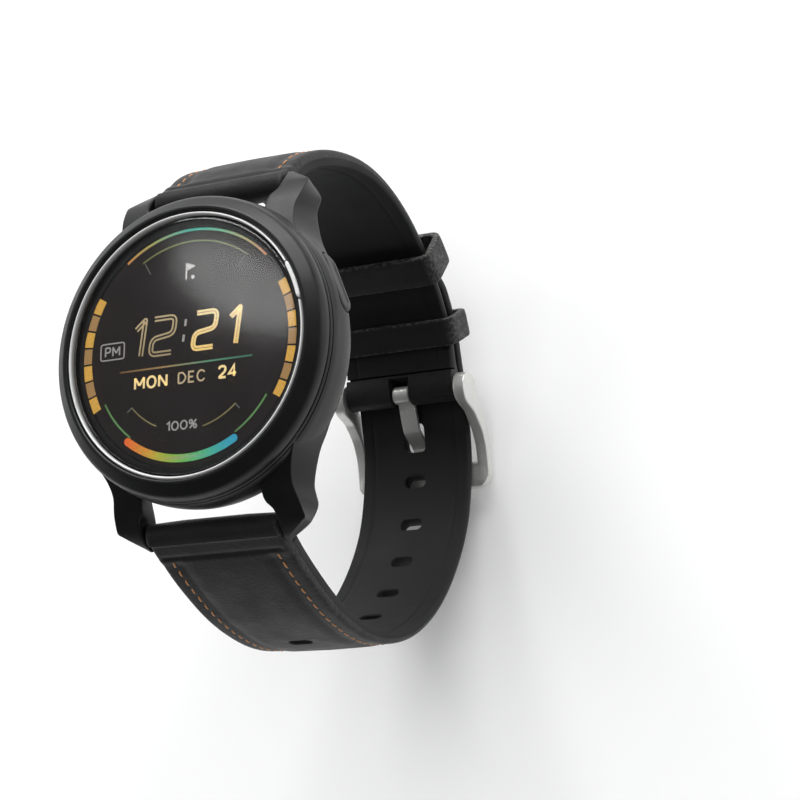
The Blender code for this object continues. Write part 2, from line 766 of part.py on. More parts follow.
def buckle():
    path = spline_points(ARM_POINTS, 1.6)
    along = distances(path)
    marks = [along[-1] * i / (len(ARM_RADII) - 1) for i in range(len(ARM_RADII))]
    radii = [interpolate(s, marks, ARM_RADII) for s in along]
    arm = tapered_outline(path, radii)
    frame = side_plate("buckle_frame", [arm], ARM_INNER_X, ARM_OUTER_X, steel())
    join(frame, side_plate("buckle_arm_left", [arm], -ARM_OUTER_X, -ARM_INNER_X))
    bar = tapered_outline(resample([Vector(p) for p in OUTER_BAR], 1.0), [OUTER_BAR_R] * 4, 6)
    join(frame, side_plate("buckle_outer_bar", [bar], 0.3 - ARM_OUTER_X, ARM_OUTER_X - 0.3))
    reach = ARM_OUTER_X - 0.5
    cut(frame, rod("buckle_pin_bore", PIN_R + FINE_GAP, -reach, reach, PIN, axis="X"))
    rod("buckle_pin", PIN_R, -reach + 0.2, reach - 0.2, PIN, dark_steel(), axis="X")
    return frame


def interpolate(value, marks, levels):
    for low, high, start, end in zip(marks, marks[1:], levels, levels[1:]):
        if value <= high:
            return start + (end - start) * (value - low) / (high - low)
    return levels[-1]


def tongue():
    path = spline_points(TONGUE_POINTS, 1.0)
    strip = tapered_outline(path, [TONGUE_THICKNESS / 2] * len(path), 6)
    half = TONGUE_WIDTH / 2
    obj = side_plate("buckle_tongue", [strip], -half, half, steel())
    join(obj, rod("tongue_eye", TONGUE_EYE_R, -half, half, PIN, axis="X", steps=24))
    return cut(obj, rod("tongue_bore", PIN_R + FINE_GAP, -3, 3, PIN, axis="X"))


def spring_bar(name, y, withdrawn):
    """A quick-release bar: a tube with one fixed tip, a sprung tip with its lever, and the coil inside."""
    reach = LUG_INNER_X + BAR_TIP_REACH - withdrawn
    profile = [(0.0, BAR_TUBE_BORE_END), (BAR_TUBE_BORE_R, BAR_TUBE_BORE_END),
               (BAR_TUBE_BORE_R, BAR_TUBE_HALF), (BAR_R, BAR_TUBE_HALF), (BAR_R, -BAR_TUBE_HALF),
               (BAR_FIXED_TIP_R, -BAR_TUBE_HALF), (BAR_FIXED_TIP_R, -reach), (0.0, -reach)]
    tube = turned(name, profile, steel(), SMALL_ROUND, closed=False, axis="X", at=(0, y, BAR_Z))
    cut(tube, box(f"{name}_slot", (5.7, y - 0.5, BAR_Z - 2), (9.3, y + 0.5, BAR_Z)))
    tip = rod(f"{name}_tip", BAR_TIP_R, BAR_TIP_START - withdrawn, reach, (y, BAR_Z), steel(), axis="X")
    lever = rod(f"{name}_lever", LEVER_R, BAR_Z - LEVER_DROP, BAR_Z, (LEVER_X - withdrawn, y), steps=12)
    join(tip, lever)
    coil(f"{name}_spring", y)


def coil(name, y):
    """The bar's coil spring at its pressed length, so that it clears the tip all the way."""
    curve = bpy.data.curves.new(name, "CURVE")
    curve.dimensions = "3D"
    curve.bevel_depth = COIL_WIRE_R * MM
    curve.bevel_resolution = 2
    curve.use_fill_caps = True
    spline = curve.splines.new("POLY")
    count = COIL_TURNS * COIL_STEPS
    spline.points.add(count)
    for index, point in enumerate(spline.points):
        angle = math.tau * index / COIL_STEPS
        x = COIL_START + COIL_LENGTH * index / count
        spot = (x, y + COIL_R * math.cos(angle), BAR_Z + COIL_R * math.sin(angle))
        point.co = (*(c * MM for c in spot), 1.0)
    return as_mesh(bpy.data.objects.new(name, curve), steel())


def main():
    global PARTS, CUTTERS
    clear_scene()
    PARTS = new_collection("golf_gps_watch")
    CUTTERS = new_collection("cutters")
    mid_case()
    bezel()
    trim_ring()
    glass_lens()
    display_stack()
    back_cover()
    ring("back_cover_seal", 17.35, 18.3, 1.5, 2.05, rubber())
    back_cover_screws()
    charging_contacts()
    electronics()
    button()
    short_strap()
    long_strap()
    keeper("keeper_fixed", FIXED_KEEPER_AT, FIXED_KEEPER_LENGTH, FIXED_KEEPER_PLAY)
    keeper("keeper_free", FREE_KEEPER_AT, FREE_KEEPER_LENGTH, FREE_KEEPER_PLAY)
    buckle()
    tongue()
    spring_bar("spring_bar_top", BAR_Y, 0.0)
    spring_bar("spring_bar_bottom", -BAR_Y, 1.5)


main()
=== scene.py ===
import math

import bmesh
import bpy
from mathutils import Matrix, Vector


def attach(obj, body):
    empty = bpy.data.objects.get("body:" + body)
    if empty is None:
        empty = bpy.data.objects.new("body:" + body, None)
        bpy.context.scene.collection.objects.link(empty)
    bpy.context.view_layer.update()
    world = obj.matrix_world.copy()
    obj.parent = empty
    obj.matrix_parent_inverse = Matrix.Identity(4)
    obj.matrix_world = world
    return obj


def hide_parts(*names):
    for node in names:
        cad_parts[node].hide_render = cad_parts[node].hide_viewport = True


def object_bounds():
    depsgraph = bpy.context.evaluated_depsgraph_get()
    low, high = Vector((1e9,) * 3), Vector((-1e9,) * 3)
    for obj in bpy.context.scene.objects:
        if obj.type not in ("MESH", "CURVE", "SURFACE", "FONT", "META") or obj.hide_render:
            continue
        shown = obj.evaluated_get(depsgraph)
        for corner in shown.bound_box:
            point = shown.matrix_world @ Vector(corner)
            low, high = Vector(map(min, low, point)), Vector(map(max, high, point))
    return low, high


# Looks of the golf GPS watch. Lengths are in millimetres in the row frame and become metres in each mesh.

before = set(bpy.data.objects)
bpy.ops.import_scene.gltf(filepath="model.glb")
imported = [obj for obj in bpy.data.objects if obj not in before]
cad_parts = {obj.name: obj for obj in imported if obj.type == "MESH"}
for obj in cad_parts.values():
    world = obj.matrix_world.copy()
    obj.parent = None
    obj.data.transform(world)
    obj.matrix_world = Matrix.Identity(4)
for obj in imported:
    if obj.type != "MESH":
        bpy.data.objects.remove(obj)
CAD_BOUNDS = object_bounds()

MM = 0.001
TURN_STEPS = 240
FINE = 0.02
SAME_POINT = 1e-7

# Case. A turned shape is its outline as points (radius, z), and the rounding of each corner.
BORE_R = 19.3
SEAM_R = 22.3
SEAM_Z = 9.9
COVER_R = 18.6
FLANGE_R = 14.6
CASE_SHAPE = ([(BORE_R, SEAM_Z), (SEAM_R, SEAM_Z), (22.42, 9.36), (22.32, 9.32), (22.32, 9.22), (22.46, 9.18),
               (22.6, 8.4), (22.6, 6.0), (22.35, 4.2), (21.7, 2.7), (20.6, 1.8), (COVER_R + 0.3, 1.5),
               (COVER_R + 0.3, 2.2), (FLANGE_R, 2.2), (FLANGE_R, 3.6), (BORE_R, 3.6)],
              [0.1, 0.14, 0.06, 0.03, 0.03, 0.06, 0.9, 1.0, 1.0, 0.8, 0.5, 0.1, 0.05, 0.15, 0.15, 0.1])
BEZEL_SHAPE = ([(19.58, 11.8), (19.58, 12.62), (19.76, 12.84), (20.2, 12.84), (21.85, 11.62), (22.2, 10.9),
                (22.28, 10.04), (19.75, 10.04)], [0.05, 0.08, 0.12, 0.4, 0.5, 0.4, 0.08, 0.05])
TRIM_SHAPE = ([(19.0, 11.6), (19.45, 11.6), (19.45, 12.3), (19.32, 12.6), (19.12, 12.6), (19.0, 12.3)],
              [0.03, 0.03, 0.05, 0.08, 0.08, 0.05])
GLASS_SHAPE = ([(0.0, 11.3), (18.75, 11.3), (18.75, 12.2), (18.3, 12.43), (0.0, 12.45)],
               [0.0, 0.05, 0.2, 0.5, 0.0])
PLATE_SHAPE = ([(0.0, 1.9), (17.0, 1.9), (17.0, 1.35), (COVER_R, 1.35), (COVER_R, 1.0), (17.2, 0.0), (13.2, 0.0),
                (13.05, 0.12), (12.75, 0.12), (12.6, 0.0), (0.0, 0.0)],
               [0.0, 0.1, 0.05, 0.05, 0.15, 0.5, 0.05, 0.03, 0.03, 0.05, 0.0])
SCREW_SHAPE = ([(0.0, 3.4), (0.6, 3.4), (0.6, 0.8), (1.25, 0.8), (1.25, 0.22), (1.0, 0.15), (0.0, 0.15)],
               [0.0, 0.05, 0.05, 0.05, 0.08, 0.1, 0.0])
CONTACT_SHAPE = ([(0.0, 0.1), (0.8, 0.1), (0.8, 2.6), (0.0, 2.6)], [0.0, 0.15, 0.05, 0.0])
TRIM_BREAK = (12.0, 31.0)
ACCENT_START = 13.0
ACCENT_SWEEP = 17.0
ACCENT_STEPS = 32
SCREW_RING_R = 15.9
SCREW_TURN = 0.35
CONTACT_Y = -10.0
CONTACT_PITCH = 3.0

# Lugs. Each curve gives a height or a half width by the distance out along y.
LUG_INNER_X = 11.2
LUG_HOOD = [(11.0, 10.0), (20.0, 9.8), (22.3, 10.0), (23.3, 10.9), (24.4, 11.2), (27.25, 11.2)]
LUG_EDGE = [(11.0, 19.1), (12.5, 18.2), (14.2, 17.15), (16.0, 16.0), (18.0, 15.1), (20.0, 14.75), (22.2, 15.2),
            (24.0, 15.5), (24.75, 15.5), (25.2, 14.85), (26.0, 13.5), (26.8, 12.1), (27.25, 11.5)]
LUG_FOOT = [(11.0, 19.0), (13.0, 18.2), (15.2, 17.2), (18.0, 16.4), (20.0, 15.9), (21.2, 15.9), (22.4, 15.95),
            (23.4, 15.45), (24.8, 14.3), (26.0, 12.8), (26.8, 11.9), (27.25, 11.45)]
LUG_TOP = [(11.0, 11.7), (13.2, 10.9), (15.8, 9.4), (18.7, 8.0), (22.0, 6.6), (24.7, 4.9), (26.2, 3.6),
           (26.9, 2.8), (27.25, 1.8)]
LUG_BOTTOM = [(11.0, 3.0), (17.0, 2.6), (19.8, 2.0), (22.8, 0.75), (25.2, 0.25), (26.4, 0.5), (27.0, 1.0),
              (27.25, 1.6)]
LUG_STATIONS = [11.0 + 0.4 * i for i in range(32)] + [
    23.75, 24.0, 24.2, 24.4, 24.6, 24.75, 24.9, 25.15, 25.4, 25.7, 26.0, 26.3, 26.55, 26.75, 26.9, 27.0, 27.1,
    27.17, 27.22]
LUG_ROUNDING = (0.5, 0.55, 0.16, 0.55)
BAR_Y = 25.2
BAR_Z = 2.2
BAR_HOLE_R = 0.65
BAR_HOLE_X = 12.8

# Button, with the radius and the inset of each level of its cap
BUTTON_ANGLE = math.radians(21.5)
BUTTON_Z = 5.4
BUTTON_LENGTH = 9.6
BUTTON_HEIGHT = 3.2
BUTTON_FACE_R = 22.88
BUTTON_BACK_R = 21.4
BUTTON_LEVELS = [(BUTTON_BACK_R, 0.0), (22.5, 0.0), (22.66, 0.03), (22.76, 0.1), (22.83, 0.22), (22.87, 0.4),
                 (BUTTON_FACE_R, 0.75)]
BUTTON_GROOVE = 0.2
STEM_R = 0.55
STEM_START = 17.7
FLANK_SWELL = 0.24
FLANK_SWELL_ANGLE = math.radians(16.0)
SWELL_RISES = (3.0, 5.0)
SWELL_FALLS = (7.4, 9.1)
POCKET_FLOOR_R = 20.6

# Band, as points (y, z) on the mid-line of each strap
PIN = (7.8, -57.0)
SHORT_POINTS = [(BAR_Y, BAR_Z), (30.6, -3.9), (34.5, -14.0), (35.7, -25.5), (32.9, -36.8), (26.3, -47.0),
                (17.5, -54.3), PIN]
LONG_POINTS = [(-BAR_Y, BAR_Z), (-30.2, -5.0), (-35.3, -15.8), (-37.4, -28.0), (-34.8, -41.0), (-27.2, -52.4),
               (-15.5, -60.4), (-2.5, -62.5)]
STRAP_HALF_WIDTH = 10.9
STRAP_END_HALF_WIDTH = 9.9
LUG_END_THICKNESS = 3.6
SHORT_END_THICKNESS = 2.6
LONG_THIN_THICKNESS = 2.2
THIN_FROM = 45.0
BAR_LOOP_R = 2.1
PIN_LOOP_R = 1.9
LOOP_BORE_R = 0.95
LINING_START = 3.4
LINING_END = 3.6
PATH_STEP = 3.0
STRAP_STEP = 0.8
TAIL_LENGTH = 23.0
STRAP_GAP = 0.35
TIP_LENGTH = 8.0
TIP_SHARES = (0.04, 0.1, 0.18, 0.3, 0.45)
ROLL_SHARES = (0.999, 0.985, 0.95, 0.88, 0.78, 0.64, 0.45, 0.22, 0.0)
HOLE_PITCH = 8.0
HOLE_COUNT = 9
HOLE_WIDTH = 3.8
HOLE_LENGTH = 1.8
HOLE_CORNER_R = 0.86
TONGUE_HOLE_LENGTH = 4.9
TONGUE_CROSSING = (1.25, -62.0)
EDGE_DISTANCES = [0.0, 0.12, 0.3, 0.5, 0.75, 1.1, 1.45, 1.75, 2.0, 2.25, 2.5, 2.8, 3.2, 3.7, 4.4, 5.5, 7.2]
SHORT_CREASE_AT = 1.8
LONG_CREASE_AT = 2.9
STITCH_INSET = 2.15
STITCH_PITCH = 2.0
STITCH_LENGTH = 1.5
STITCH_WIDTH = 0.3
STITCH_HEIGHT = 0.28
STITCH_DIP = 0.16
STITCH_SLANT = 0.09
STITCH_SHARES = (-1.0, -0.92, -0.7, -0.35, 0.0, 0.35, 0.7, 0.92, 1.0)
STITCH_SIDES = 8
FLAP_LENGTH = 8.6
FACE_INSET = 0.012

# Keepers: how far from the strap's end, how long, and how loose
KEEPER_WALL = 1.2
KEEPER_SIDE_PLAY = 0.75
KEEPER_INNER_R = 0.9
KEEPER_OUTER_R = 2.0
KEEPER_CORNER_STEPS = 7
KEEPER_LONG_STEPS = 8
FIXED_KEEPER = (10.2, 4.6, 0.35)
FREE_KEEPER = (22.5, 5.4, 0.5)

# Buckle
PIN_R = 0.75
PIN_PLAY = 0.12
ARM_INNER_X = 10.4
ARM_OUTER_X = 12.4
ARM_POINTS = [PIN, (4.3, -61.1), (0.3, -63.9), (-4.4, -65.1), (-6.6, -65.25)]
ARM_RADII = [2.7, 1.6, 1.15, 0.97, 0.93]
ARM_CORNER_R = 0.32
OUTER_BAR = [(-3.9, -64.95), (-6.8, -65.25)]
OUTER_BAR_R = 0.9
BUCKLE_END = 7.7
BUCKLE_CORNER_R = 2.6
TONGUE_POINTS = [(7.3, -58.0), (2.9, -59.9), (1.9, -60.7), (0.3, -63.4), (-1.3, -65.2), (-3.9, -67.0),
                 (-7.4, -67.4)]
TONGUE_THICKNESS = 0.9
TONGUE_WIDTH = 3.0
TONGUE_EYE_R = 1.5
TONGUE_FOLD = (5.65, -58.2)
TONGUE_FOLD_R = 0.17
NOTCH_WIDTH = 3.7
CAP_SHARES = (0.995, 0.96, 0.9, 0.8, 0.66, 0.48, 0.26)

# Screen
PANEL_R = 17.5
PANEL_TOP = 11.0
PANEL_BOTTOM = 9.95
INK_LOW = 11.02
INK_HIGH = 11.07
AMBER = (0.66, 0.37, 0.06)
DIM_AMBER = (0.36, 0.21, 0.075)
CREAM = (1.0, 0.76, 0.34)
DIM_CREAM = (0.56, 0.44, 0.26)
GREY_INK = (0.34, 0.33, 0.315)
COLON_INK = (0.36, 0.34, 0.33)
TICK_INK = (0.11, 0.11, 0.11)
PALE_INK = (0.62, 0.61, 0.58)
DIM_DIGITS = [(0.52, 0.41, 0.23), (0.36, 0.28, 0.15)]
BRIGHT_DIGITS = [(1.0, 0.80, 0.42), (0.95, 0.66, 0.22)]
GREEN_ARC = [(0.09, 0.19, 0.06), (0.12, 0.30, 0.10), (0.10, 0.24, 0.07)]
OLIVE_ARC = [(0.17, 0.145, 0.055), (0.24, 0.21, 0.085)]
TOP_OUTER_ARC = [(0.55, 0.23, 0.06), (0.36, 0.36, 0.10), (0.06, 0.42, 0.33), (0.05, 0.45, 0.30), (0.40, 0.40, 0.17),
                 (0.50, 0.22, 0.12)]
TOP_INNER_ARC = [(0.16, 0.17, 0.05), (0.22, 0.26, 0.08), (0.16, 0.22, 0.08), (0.20, 0.24, 0.09), (0.14, 0.15, 0.06)]
GAUGE_ARC = [(0.75, 0.13, 0.02), (0.72, 0.24, 0.03), (0.40, 0.45, 0.05), (0.13, 0.48, 0.06), (0.10, 0.47, 0.15),
             (0.05, 0.40, 0.35), (0.03, 0.32, 0.50)]
DIVIDER = [(0.16, 0.08, 0.03), (0.36, 0.23, 0.09), (0.10, 0.30, 0.18), (0.03, 0.14, 0.085)]
DIGIT_LOW = -0.55
DIGIT_HIGH = 4.65
DIGIT_SLANT = 0.13

# Lit arcs: name, inner and outer radius, start and end in degrees, colours, and whether the ends are round
ARCS = [("arc_top_outer", 17.05, 17.4, 128, 43, TOP_OUTER_ARC, False),
        ("arc_top_inner", 15.4, 15.6, 121, 52, TOP_INNER_ARC, False),
        ("arc_low_left", 15.35, 15.6, 207, 233, GREEN_ARC, False),
        ("arc_low_right", 15.35, 15.6, -59, -33, GREEN_ARC, False),
        ("gauge_band", 15.6, 16.75, -127, -61, GAUGE_ARC, True),
        ("arc_battery_left", 12.1, 12.28, -139, -114, OLIVE_ARC, False),
        ("arc_battery_right", 12.1, 12.28, -77, -49, OLIVE_ARC, False)]
# Tick marks: angle, inner and outer radius
TICKS = [(120, 13.3, 15.2), (53, 13.3, 15.2), (-139, 12.2, 13.2), (-49, 12.2, 13.2)]
# The time: digit, left side, width, and whether it is bright
TIME = [("1", -9.3, 1.35, False), ("2", -6.35, 3.5, False), ("2", 0.75, 3.35, True), ("1", 6.5, 1.35, True)]
# Generic words: name, letters, left, right, low, high, gap between letters, line width, colour
WORDS = [("day_name", "MON", -8.75, -3.45, -5.35, -3.75, 0.6, 0.33, CREAM),
         ("month_name", "DEC", -1.45, 2.85, -5.3, -3.8, 0.55, 0.24, DIM_CREAM),
         ("day_number", "24", 5.2, 8.0, -5.25, -3.65, 0.55, 0.35, CREAM),
         ("charge", "100%", -3.2, 1.7, -12.0, -10.8, 0.42, 0.22, GREY_INK),
         ("half_day", "PM", -14.0, -11.6, 0.05, 1.35, 0.45, 0.22, GREY_INK)]

# Stage
CAMERA_PLACE = (158.19, -79.45, 258.46)
CAMERA_RIGHT = (0.893, -0.0009, -0.45)
CAMERA_BACK = (0.4369, -0.2379, 0.8675)
CAMERA_LENS = 96.264
FLOOR_REACH = 1.5
FLOOR_DROP = 0.0004
MIDDLE = (0.0, 0.0, -0.02)
# Lamps in metres: name, place, target, size, radiance, shape
LAMPS = [("key", (0.0, 0.66, 0.35), MIDDLE, (0.95, 0.36), 6.4, "RECTANGLE"),
         ("left_rim", (-0.70, 0.10, 0.22), MIDDLE, (0.3, 0.35), 1.5, "RECTANGLE"),
         ("right_fill", (0.62, 0.22, 0.05), MIDDLE, (0.30, 0.35), 1.6, "RECTANGLE"),
         ("screen_glow", (-0.226, 0.159, 0.4229), (0.013, 0.008, 0.012), (0.038, 0.088), 4.6, "ELLIPSE"),
         ("floor_lamp", (0.0, -0.1, 1.3), MIDDLE, (1.8, 1.8), 1.4, "RECTANGLE")]


# Paths and sections

def ramp(value, low, high, start, end):
    t = min(1.0, max(0.0, (value - low) / (high - low)))
    t = t * t * (3 - 2 * t)
    return start + (end - start) * t


def bell(value, centre, width):
    return math.exp(-((value - centre) / width) ** 2)


def catmull(points, count=40):
    first = tuple(2 * a - b for a, b in zip(points[0], points[1]))
    last = tuple(2 * a - b for a, b in zip(points[-1], points[-2]))
    guides = [Vector(p) for p in (first, *points, last)]
    dense = []
    for a, b, c, d in zip(guides, guides[1:], guides[2:], guides[3:]):
        for i in range(count):
            t = i / count
            dense.append(0.5 * (2 * b + (c - a) * t + (2 * a - 5 * b + 4 * c - d) * t * t
                                + (3 * b - a - 3 * c + d) * t ** 3))
    dense.append(guides[-2])
    return dense


def distances(path):
    total = [0.0]
    for a, b in zip(path, path[1:]):
        total.append(total[-1] + (b - a).length)
    return total


def resample(dense, step):
    lengths = distances(dense)
    count = max(2, round(lengths[-1] / step))
    points = []
    index = 0
    for i in range(count + 1):
        target = lengths[-1] * i / count
        while index < len(dense) - 2 and lengths[index + 1] < target:
            index += 1
        span = lengths[index + 1] - lengths[index]
        points.append(dense[index].lerp(dense[index + 1], (target - lengths[index]) / span))
    return points


def level(curve, at):
    """The height of a smooth curve of (position, height) points at a position."""
    dense = catmull(curve, 12)
    for a, b in zip(dense, dense[1:]):
        if at <= b.x:
            return a.y + (b.y - a.y) * max(0.0, (at - a.x) / (b.x - a.x))
    return dense[-1].y


def arc(centre, radius, start, end, count):
    angles = [math.radians(start + (end - start) * i / count) for i in range(count + 1)]
    return [(centre[0] + radius * math.cos(a), centre[1] + radius * math.sin(a)) for a in angles]


def polar(radius, angle):
    return radius * math.cos(angle), radius * math.sin(angle)


def rounded_corner(before, corner, after, size, count):
    """The points of a curve that rounds off one corner of a line."""
    corner = Vector(corner)
    back = Vector(before) - corner
    ahead = Vector(after) - corner
    reach = min(size, back.length * 0.45, ahead.length * 0.45)
    start = corner + back.normalized() * reach
    end = corner + ahead.normalized() * reach
    shares = [k / count for k in range(count + 1)]
    return [tuple(start * (1 - t) ** 2 + corner * (2 * t * (1 - t)) + end * t * t) for t in shares]


def filleted(points, radii, count=4):
    """A closed outline with its corners rounded, each by its own radius."""
    done = []
    for i, size in enumerate(radii):
        after = points[(i + 1) % len(points)]
        if size:
            done += rounded_corner(points[i - 1], points[i], after, size, count)
        else:
            done.append(tuple(Vector(points[i])))
    return done


def softened(points, radius):
    """An open line with its inner corners rounded."""
    done = [points[0]]
    for before, corner, after in zip(points, points[1:], points[2:]):
        done += rounded_corner(before, corner, after, radius, 6)
    return done + [points[-1]]


def rounded_box(left, low, right, high, radius, count=5):
    corners = [(right - radius, high - radius, 0), (left + radius, high - radius, 90),
               (left + radius, low + radius, 180), (right - radius, low + radius, 270)]
    return [point for y, z, start in corners for point in arc((y, z), radius, start, start + 90, count)]


def arc_outline(inner, outer, start, end, count=24):
    return arc((0, 0), outer, start, end, count) + arc((0, 0), inner, end, start, count)


# Meshes

def mesh_from(name, work):
    bmesh.ops.remove_doubles(work, verts=work.verts, dist=SAME_POINT)
    bmesh.ops.recalc_face_normals(work, faces=work.faces)
    mesh = bpy.data.meshes.new(name)
    work.to_mesh(mesh)
    work.free()
    obj = bpy.data.objects.new(name, mesh)
    bpy.context.scene.collection.objects.link(obj)
    return obj


def skin(work, rings, loop=False):
    """Faces between closed rings of vertices; the two ends are filled, or joined where loop is set."""
    pairs = list(zip(rings, rings[1:]))
    if loop:
        pairs.append((rings[-1], rings[0]))
    for first, second in pairs:
        for i in range(len(first)):
            j = (i + 1) % len(first)
            work.faces.new((first[i], first[j], second[j], second[i]))
    if not loop:
        work.faces.new(rings[0][::-1])
        work.faces.new(rings[-1])


def loft(name, rings, loop=False):
    """A solid through closed rings of points; loop joins the last ring to the first."""
    work = bmesh.new()
    skin(work, [[work.verts.new(Vector(p) * MM) for p in ring] for ring in rings], loop)
    return mesh_from(name, work)


def turned(name, outline, steps=TURN_STEPS, axis="Z", at=(0.0, 0.0, 0.0)):
    """A closed outline of (radius, height) points turned about an axis."""
    work = bmesh.new()
    columns = []
    for k in range(steps):
        angle = math.tau * k / steps
        column = []
        for r, h in outline:
            flat = (*polar(r, angle), h)
            spot = flat if axis == "Z" else (h, flat[0], flat[1])
            column.append(work.verts.new((Vector(spot) + Vector(at)) * MM))
        columns.append(column)
    for k, first in enumerate(columns):
        second = columns[(k + 1) % steps]
        for i in range(len(outline)):
            j = (i + 1) % len(outline)
            on_axis = outline[i][0] < 1e-6 and outline[j][0] < 1e-6
            if not on_axis:
                work.faces.new((first[i], first[j], second[j], second[i]))
    bmesh.ops.remove_doubles(work, verts=work.verts, dist=SAME_POINT)
    bmesh.ops.dissolve_degenerate(work, edges=work.edges, dist=1e-8)
    return mesh_from(name, work)


def slab(name, outline, low, high, side=False, turn=None):
    """An outline extruded between two levels: in z, or in x where side is set. Turn is a matrix in metres."""
    def spot(a, b, c):
        return (c, a, b) if side else (a, b, c)
    obj = loft(name, [[spot(a, b, end) for a, b in outline] for end in (low, high)])
    if turn:
        obj.data.transform(turn)
    return obj


def applied(obj):
    """Makes an object's modifiers part of its mesh."""
    bpy.context.view_layer.update()
    seen = obj.evaluated_get(bpy.context.evaluated_depsgraph_get())
    mesh = bpy.data.meshes.new_from_object(seen)
    obj.modifiers.clear()
    obj.data = mesh


def combine(obj, tools, operation, keep=False):
    """Adds or removes tools, which are then deleted unless keep is set."""
    for tool in tools:
        modifier = obj.modifiers.new(tool.name, "BOOLEAN")
        modifier.operation = operation
        modifier.solver = "EXACT"
        modifier.object = tool
    applied(obj)
    if not keep:
        for tool in tools:
            bpy.data.objects.remove(tool, do_unlink=True)


def cut(obj, *tools):
    combine(obj, tools, "DIFFERENCE")


def join(obj, *tools):
    combine(obj, tools, "UNION")


def cylinder(name, radius, low, high, at, axis="X", steps=40):
    """A cutter or core along an axis; at gives its place across that axis."""
    place = (0.0, at[0], at[1]) if axis == "X" else (at[0], at[1], 0.0)
    return turned(name, [(0.0, low), (radius, low), (radius, high), (0.0, high)], steps, axis, place)


def block(name, low, high):
    outline = [(low[0], low[1]), (high[0], low[1]), (high[0], high[1]), (low[0], high[1])]
    return slab(name, outline, low[2], high[2])


def finished(obj, paint, body, slot, *nodes, angle=28.0):
    """Gives a piece its material and body, shades it smooth with sharp edges by angle, and hides the CAD nodes it
    stands for.
    """
    obj.data.materials.clear()
    obj.data.materials.append(paint.material)
    obj.data.shade_smooth()
    obj.data.set_sharp_from_angle(angle=math.radians(angle))
    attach(obj, body)
    if nodes:
        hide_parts(*nodes)


def mark_wear_and_highlight(obj, rule):
    """Stores, from 0 to 1, how much paler each point is painted, for rubbed wear and for painted highlights, for a
    material to read.
    """
    layer = obj.data.attributes.new("wear_and_highlight", "FLOAT", "POINT")
    for item, vertex in zip(layer.data, obj.data.vertices):
        item.value = rule(vertex.co / MM)


# Materials

class Paint:
    """A procedural material built from layers of texture in the piece's own space."""

    def __init__(self, name, colour, roughness, metallic=0.0, specular=0.5):
        self.material = bpy.data.materials.new(name)
        self.material.use_nodes = True
        self.tree = self.material.node_tree
        self.shader = self.tree.nodes["Principled BSDF"]
        self.set("Base Color", (*colour, 1.0))
        self.set("Roughness", roughness)
        self.set("Metallic", metallic)
        self.set("Specular IOR Level", specular)
        self.place = self.tree.nodes.new("ShaderNodeTexCoord").outputs["Object"]
        self.height = None

    def set(self, name, value):
        self.shader.inputs[name].default_value = value

    def node(self, kind, **settings):
        made = self.tree.nodes.new(kind)
        for key, value in settings.items():
            setattr(made, key, value)
        return made

    def link(self, source, target):
        self.tree.links.new(source, target)

    def noise(self, size, detail=3.0, stretch=(1.0, 1.0, 1.0), rough=0.5):
        """Noise whose features are about size millimetres across."""
        mapping = self.node("ShaderNodeMapping")
        mapping.inputs["Scale"].default_value = stretch
        texture = self.node("ShaderNodeTexNoise")
        texture.inputs["Scale"].default_value = 1.0 / (size * MM)
        texture.inputs["Detail"].default_value = detail
        texture.inputs["Roughness"].default_value = rough
        self.link(self.place, mapping.inputs["Vector"])
        self.link(mapping.outputs["Vector"], texture.inputs["Vector"])
        return texture.outputs["Fac"]

    def cells(self, size, feature="F1"):
        """Voronoi cells about size millimetres across."""
        texture = self.node("ShaderNodeTexVoronoi", feature=feature)
        texture.inputs["Scale"].default_value = 1.0 / (size * MM)
        self.link(self.place, texture.inputs["Vector"])
        return texture.outputs["Distance"]

    def ranged(self, source, low, high, start, end):
        span = self.node("ShaderNodeMapRange")
        for key, value in zip(("From Min", "From Max", "To Min", "To Max"), (low, high, start, end)):
            span.inputs[key].default_value = value
        self.link(source, span.inputs["Value"])
        return span.outputs["Result"]

    def attribute(self, name, output="Fac"):
        return self.node("ShaderNodeAttribute", attribute_name=name).outputs[output]

    def tint(self, factor, colour):
        """Mixes the base colour so far towards another by a factor."""
        mix = self.node("ShaderNodeMix", data_type="RGBA")
        target = self.shader.inputs["Base Color"]
        if target.is_linked:
            self.link(target.links[0].from_socket, mix.inputs[6])
        else:
            mix.inputs[6].default_value = target.default_value
        mix.inputs[7].default_value = (*colour, 1.0)
        self.link(factor, mix.inputs[0])
        self.link(mix.outputs[2], target)

    def roughen(self, factor, low, high):
        self.link(self.ranged(factor, 0.3, 0.7, low, high), self.shader.inputs["Roughness"])

    def bump(self, height, depth, strength=1.0):
        """Raises the surface by height times depth millimetres, over what is there already."""
        bump = self.node("ShaderNodeBump")
        bump.inputs["Strength"].default_value = strength
        bump.inputs["Distance"].default_value = depth * MM
        self.link(height, bump.inputs["Height"])
        if self.height:
            self.link(self.height, bump.inputs["Normal"])
        self.height = bump.outputs["Normal"]
        self.link(self.height, self.shader.inputs["Normal"])


def satin_black(name, colour=(0.0045, 0.0045, 0.005), roughness=0.38, specular=0.33):
    """Black coated metal, bead-blasted fine, with faint handling marks."""
    paint = Paint(name, colour, roughness, 0.0, specular)
    fine = paint.noise(0.09, 2.0)
    broad = paint.noise(5.0)
    paint.roughen(broad, roughness - 0.04, roughness + 0.05)
    paint.tint(paint.ranged(broad, 0.35, 0.75, 0.0, 0.35), (0.009, 0.009, 0.01))
    paint.bump(fine, 0.012, 0.5)
    return paint


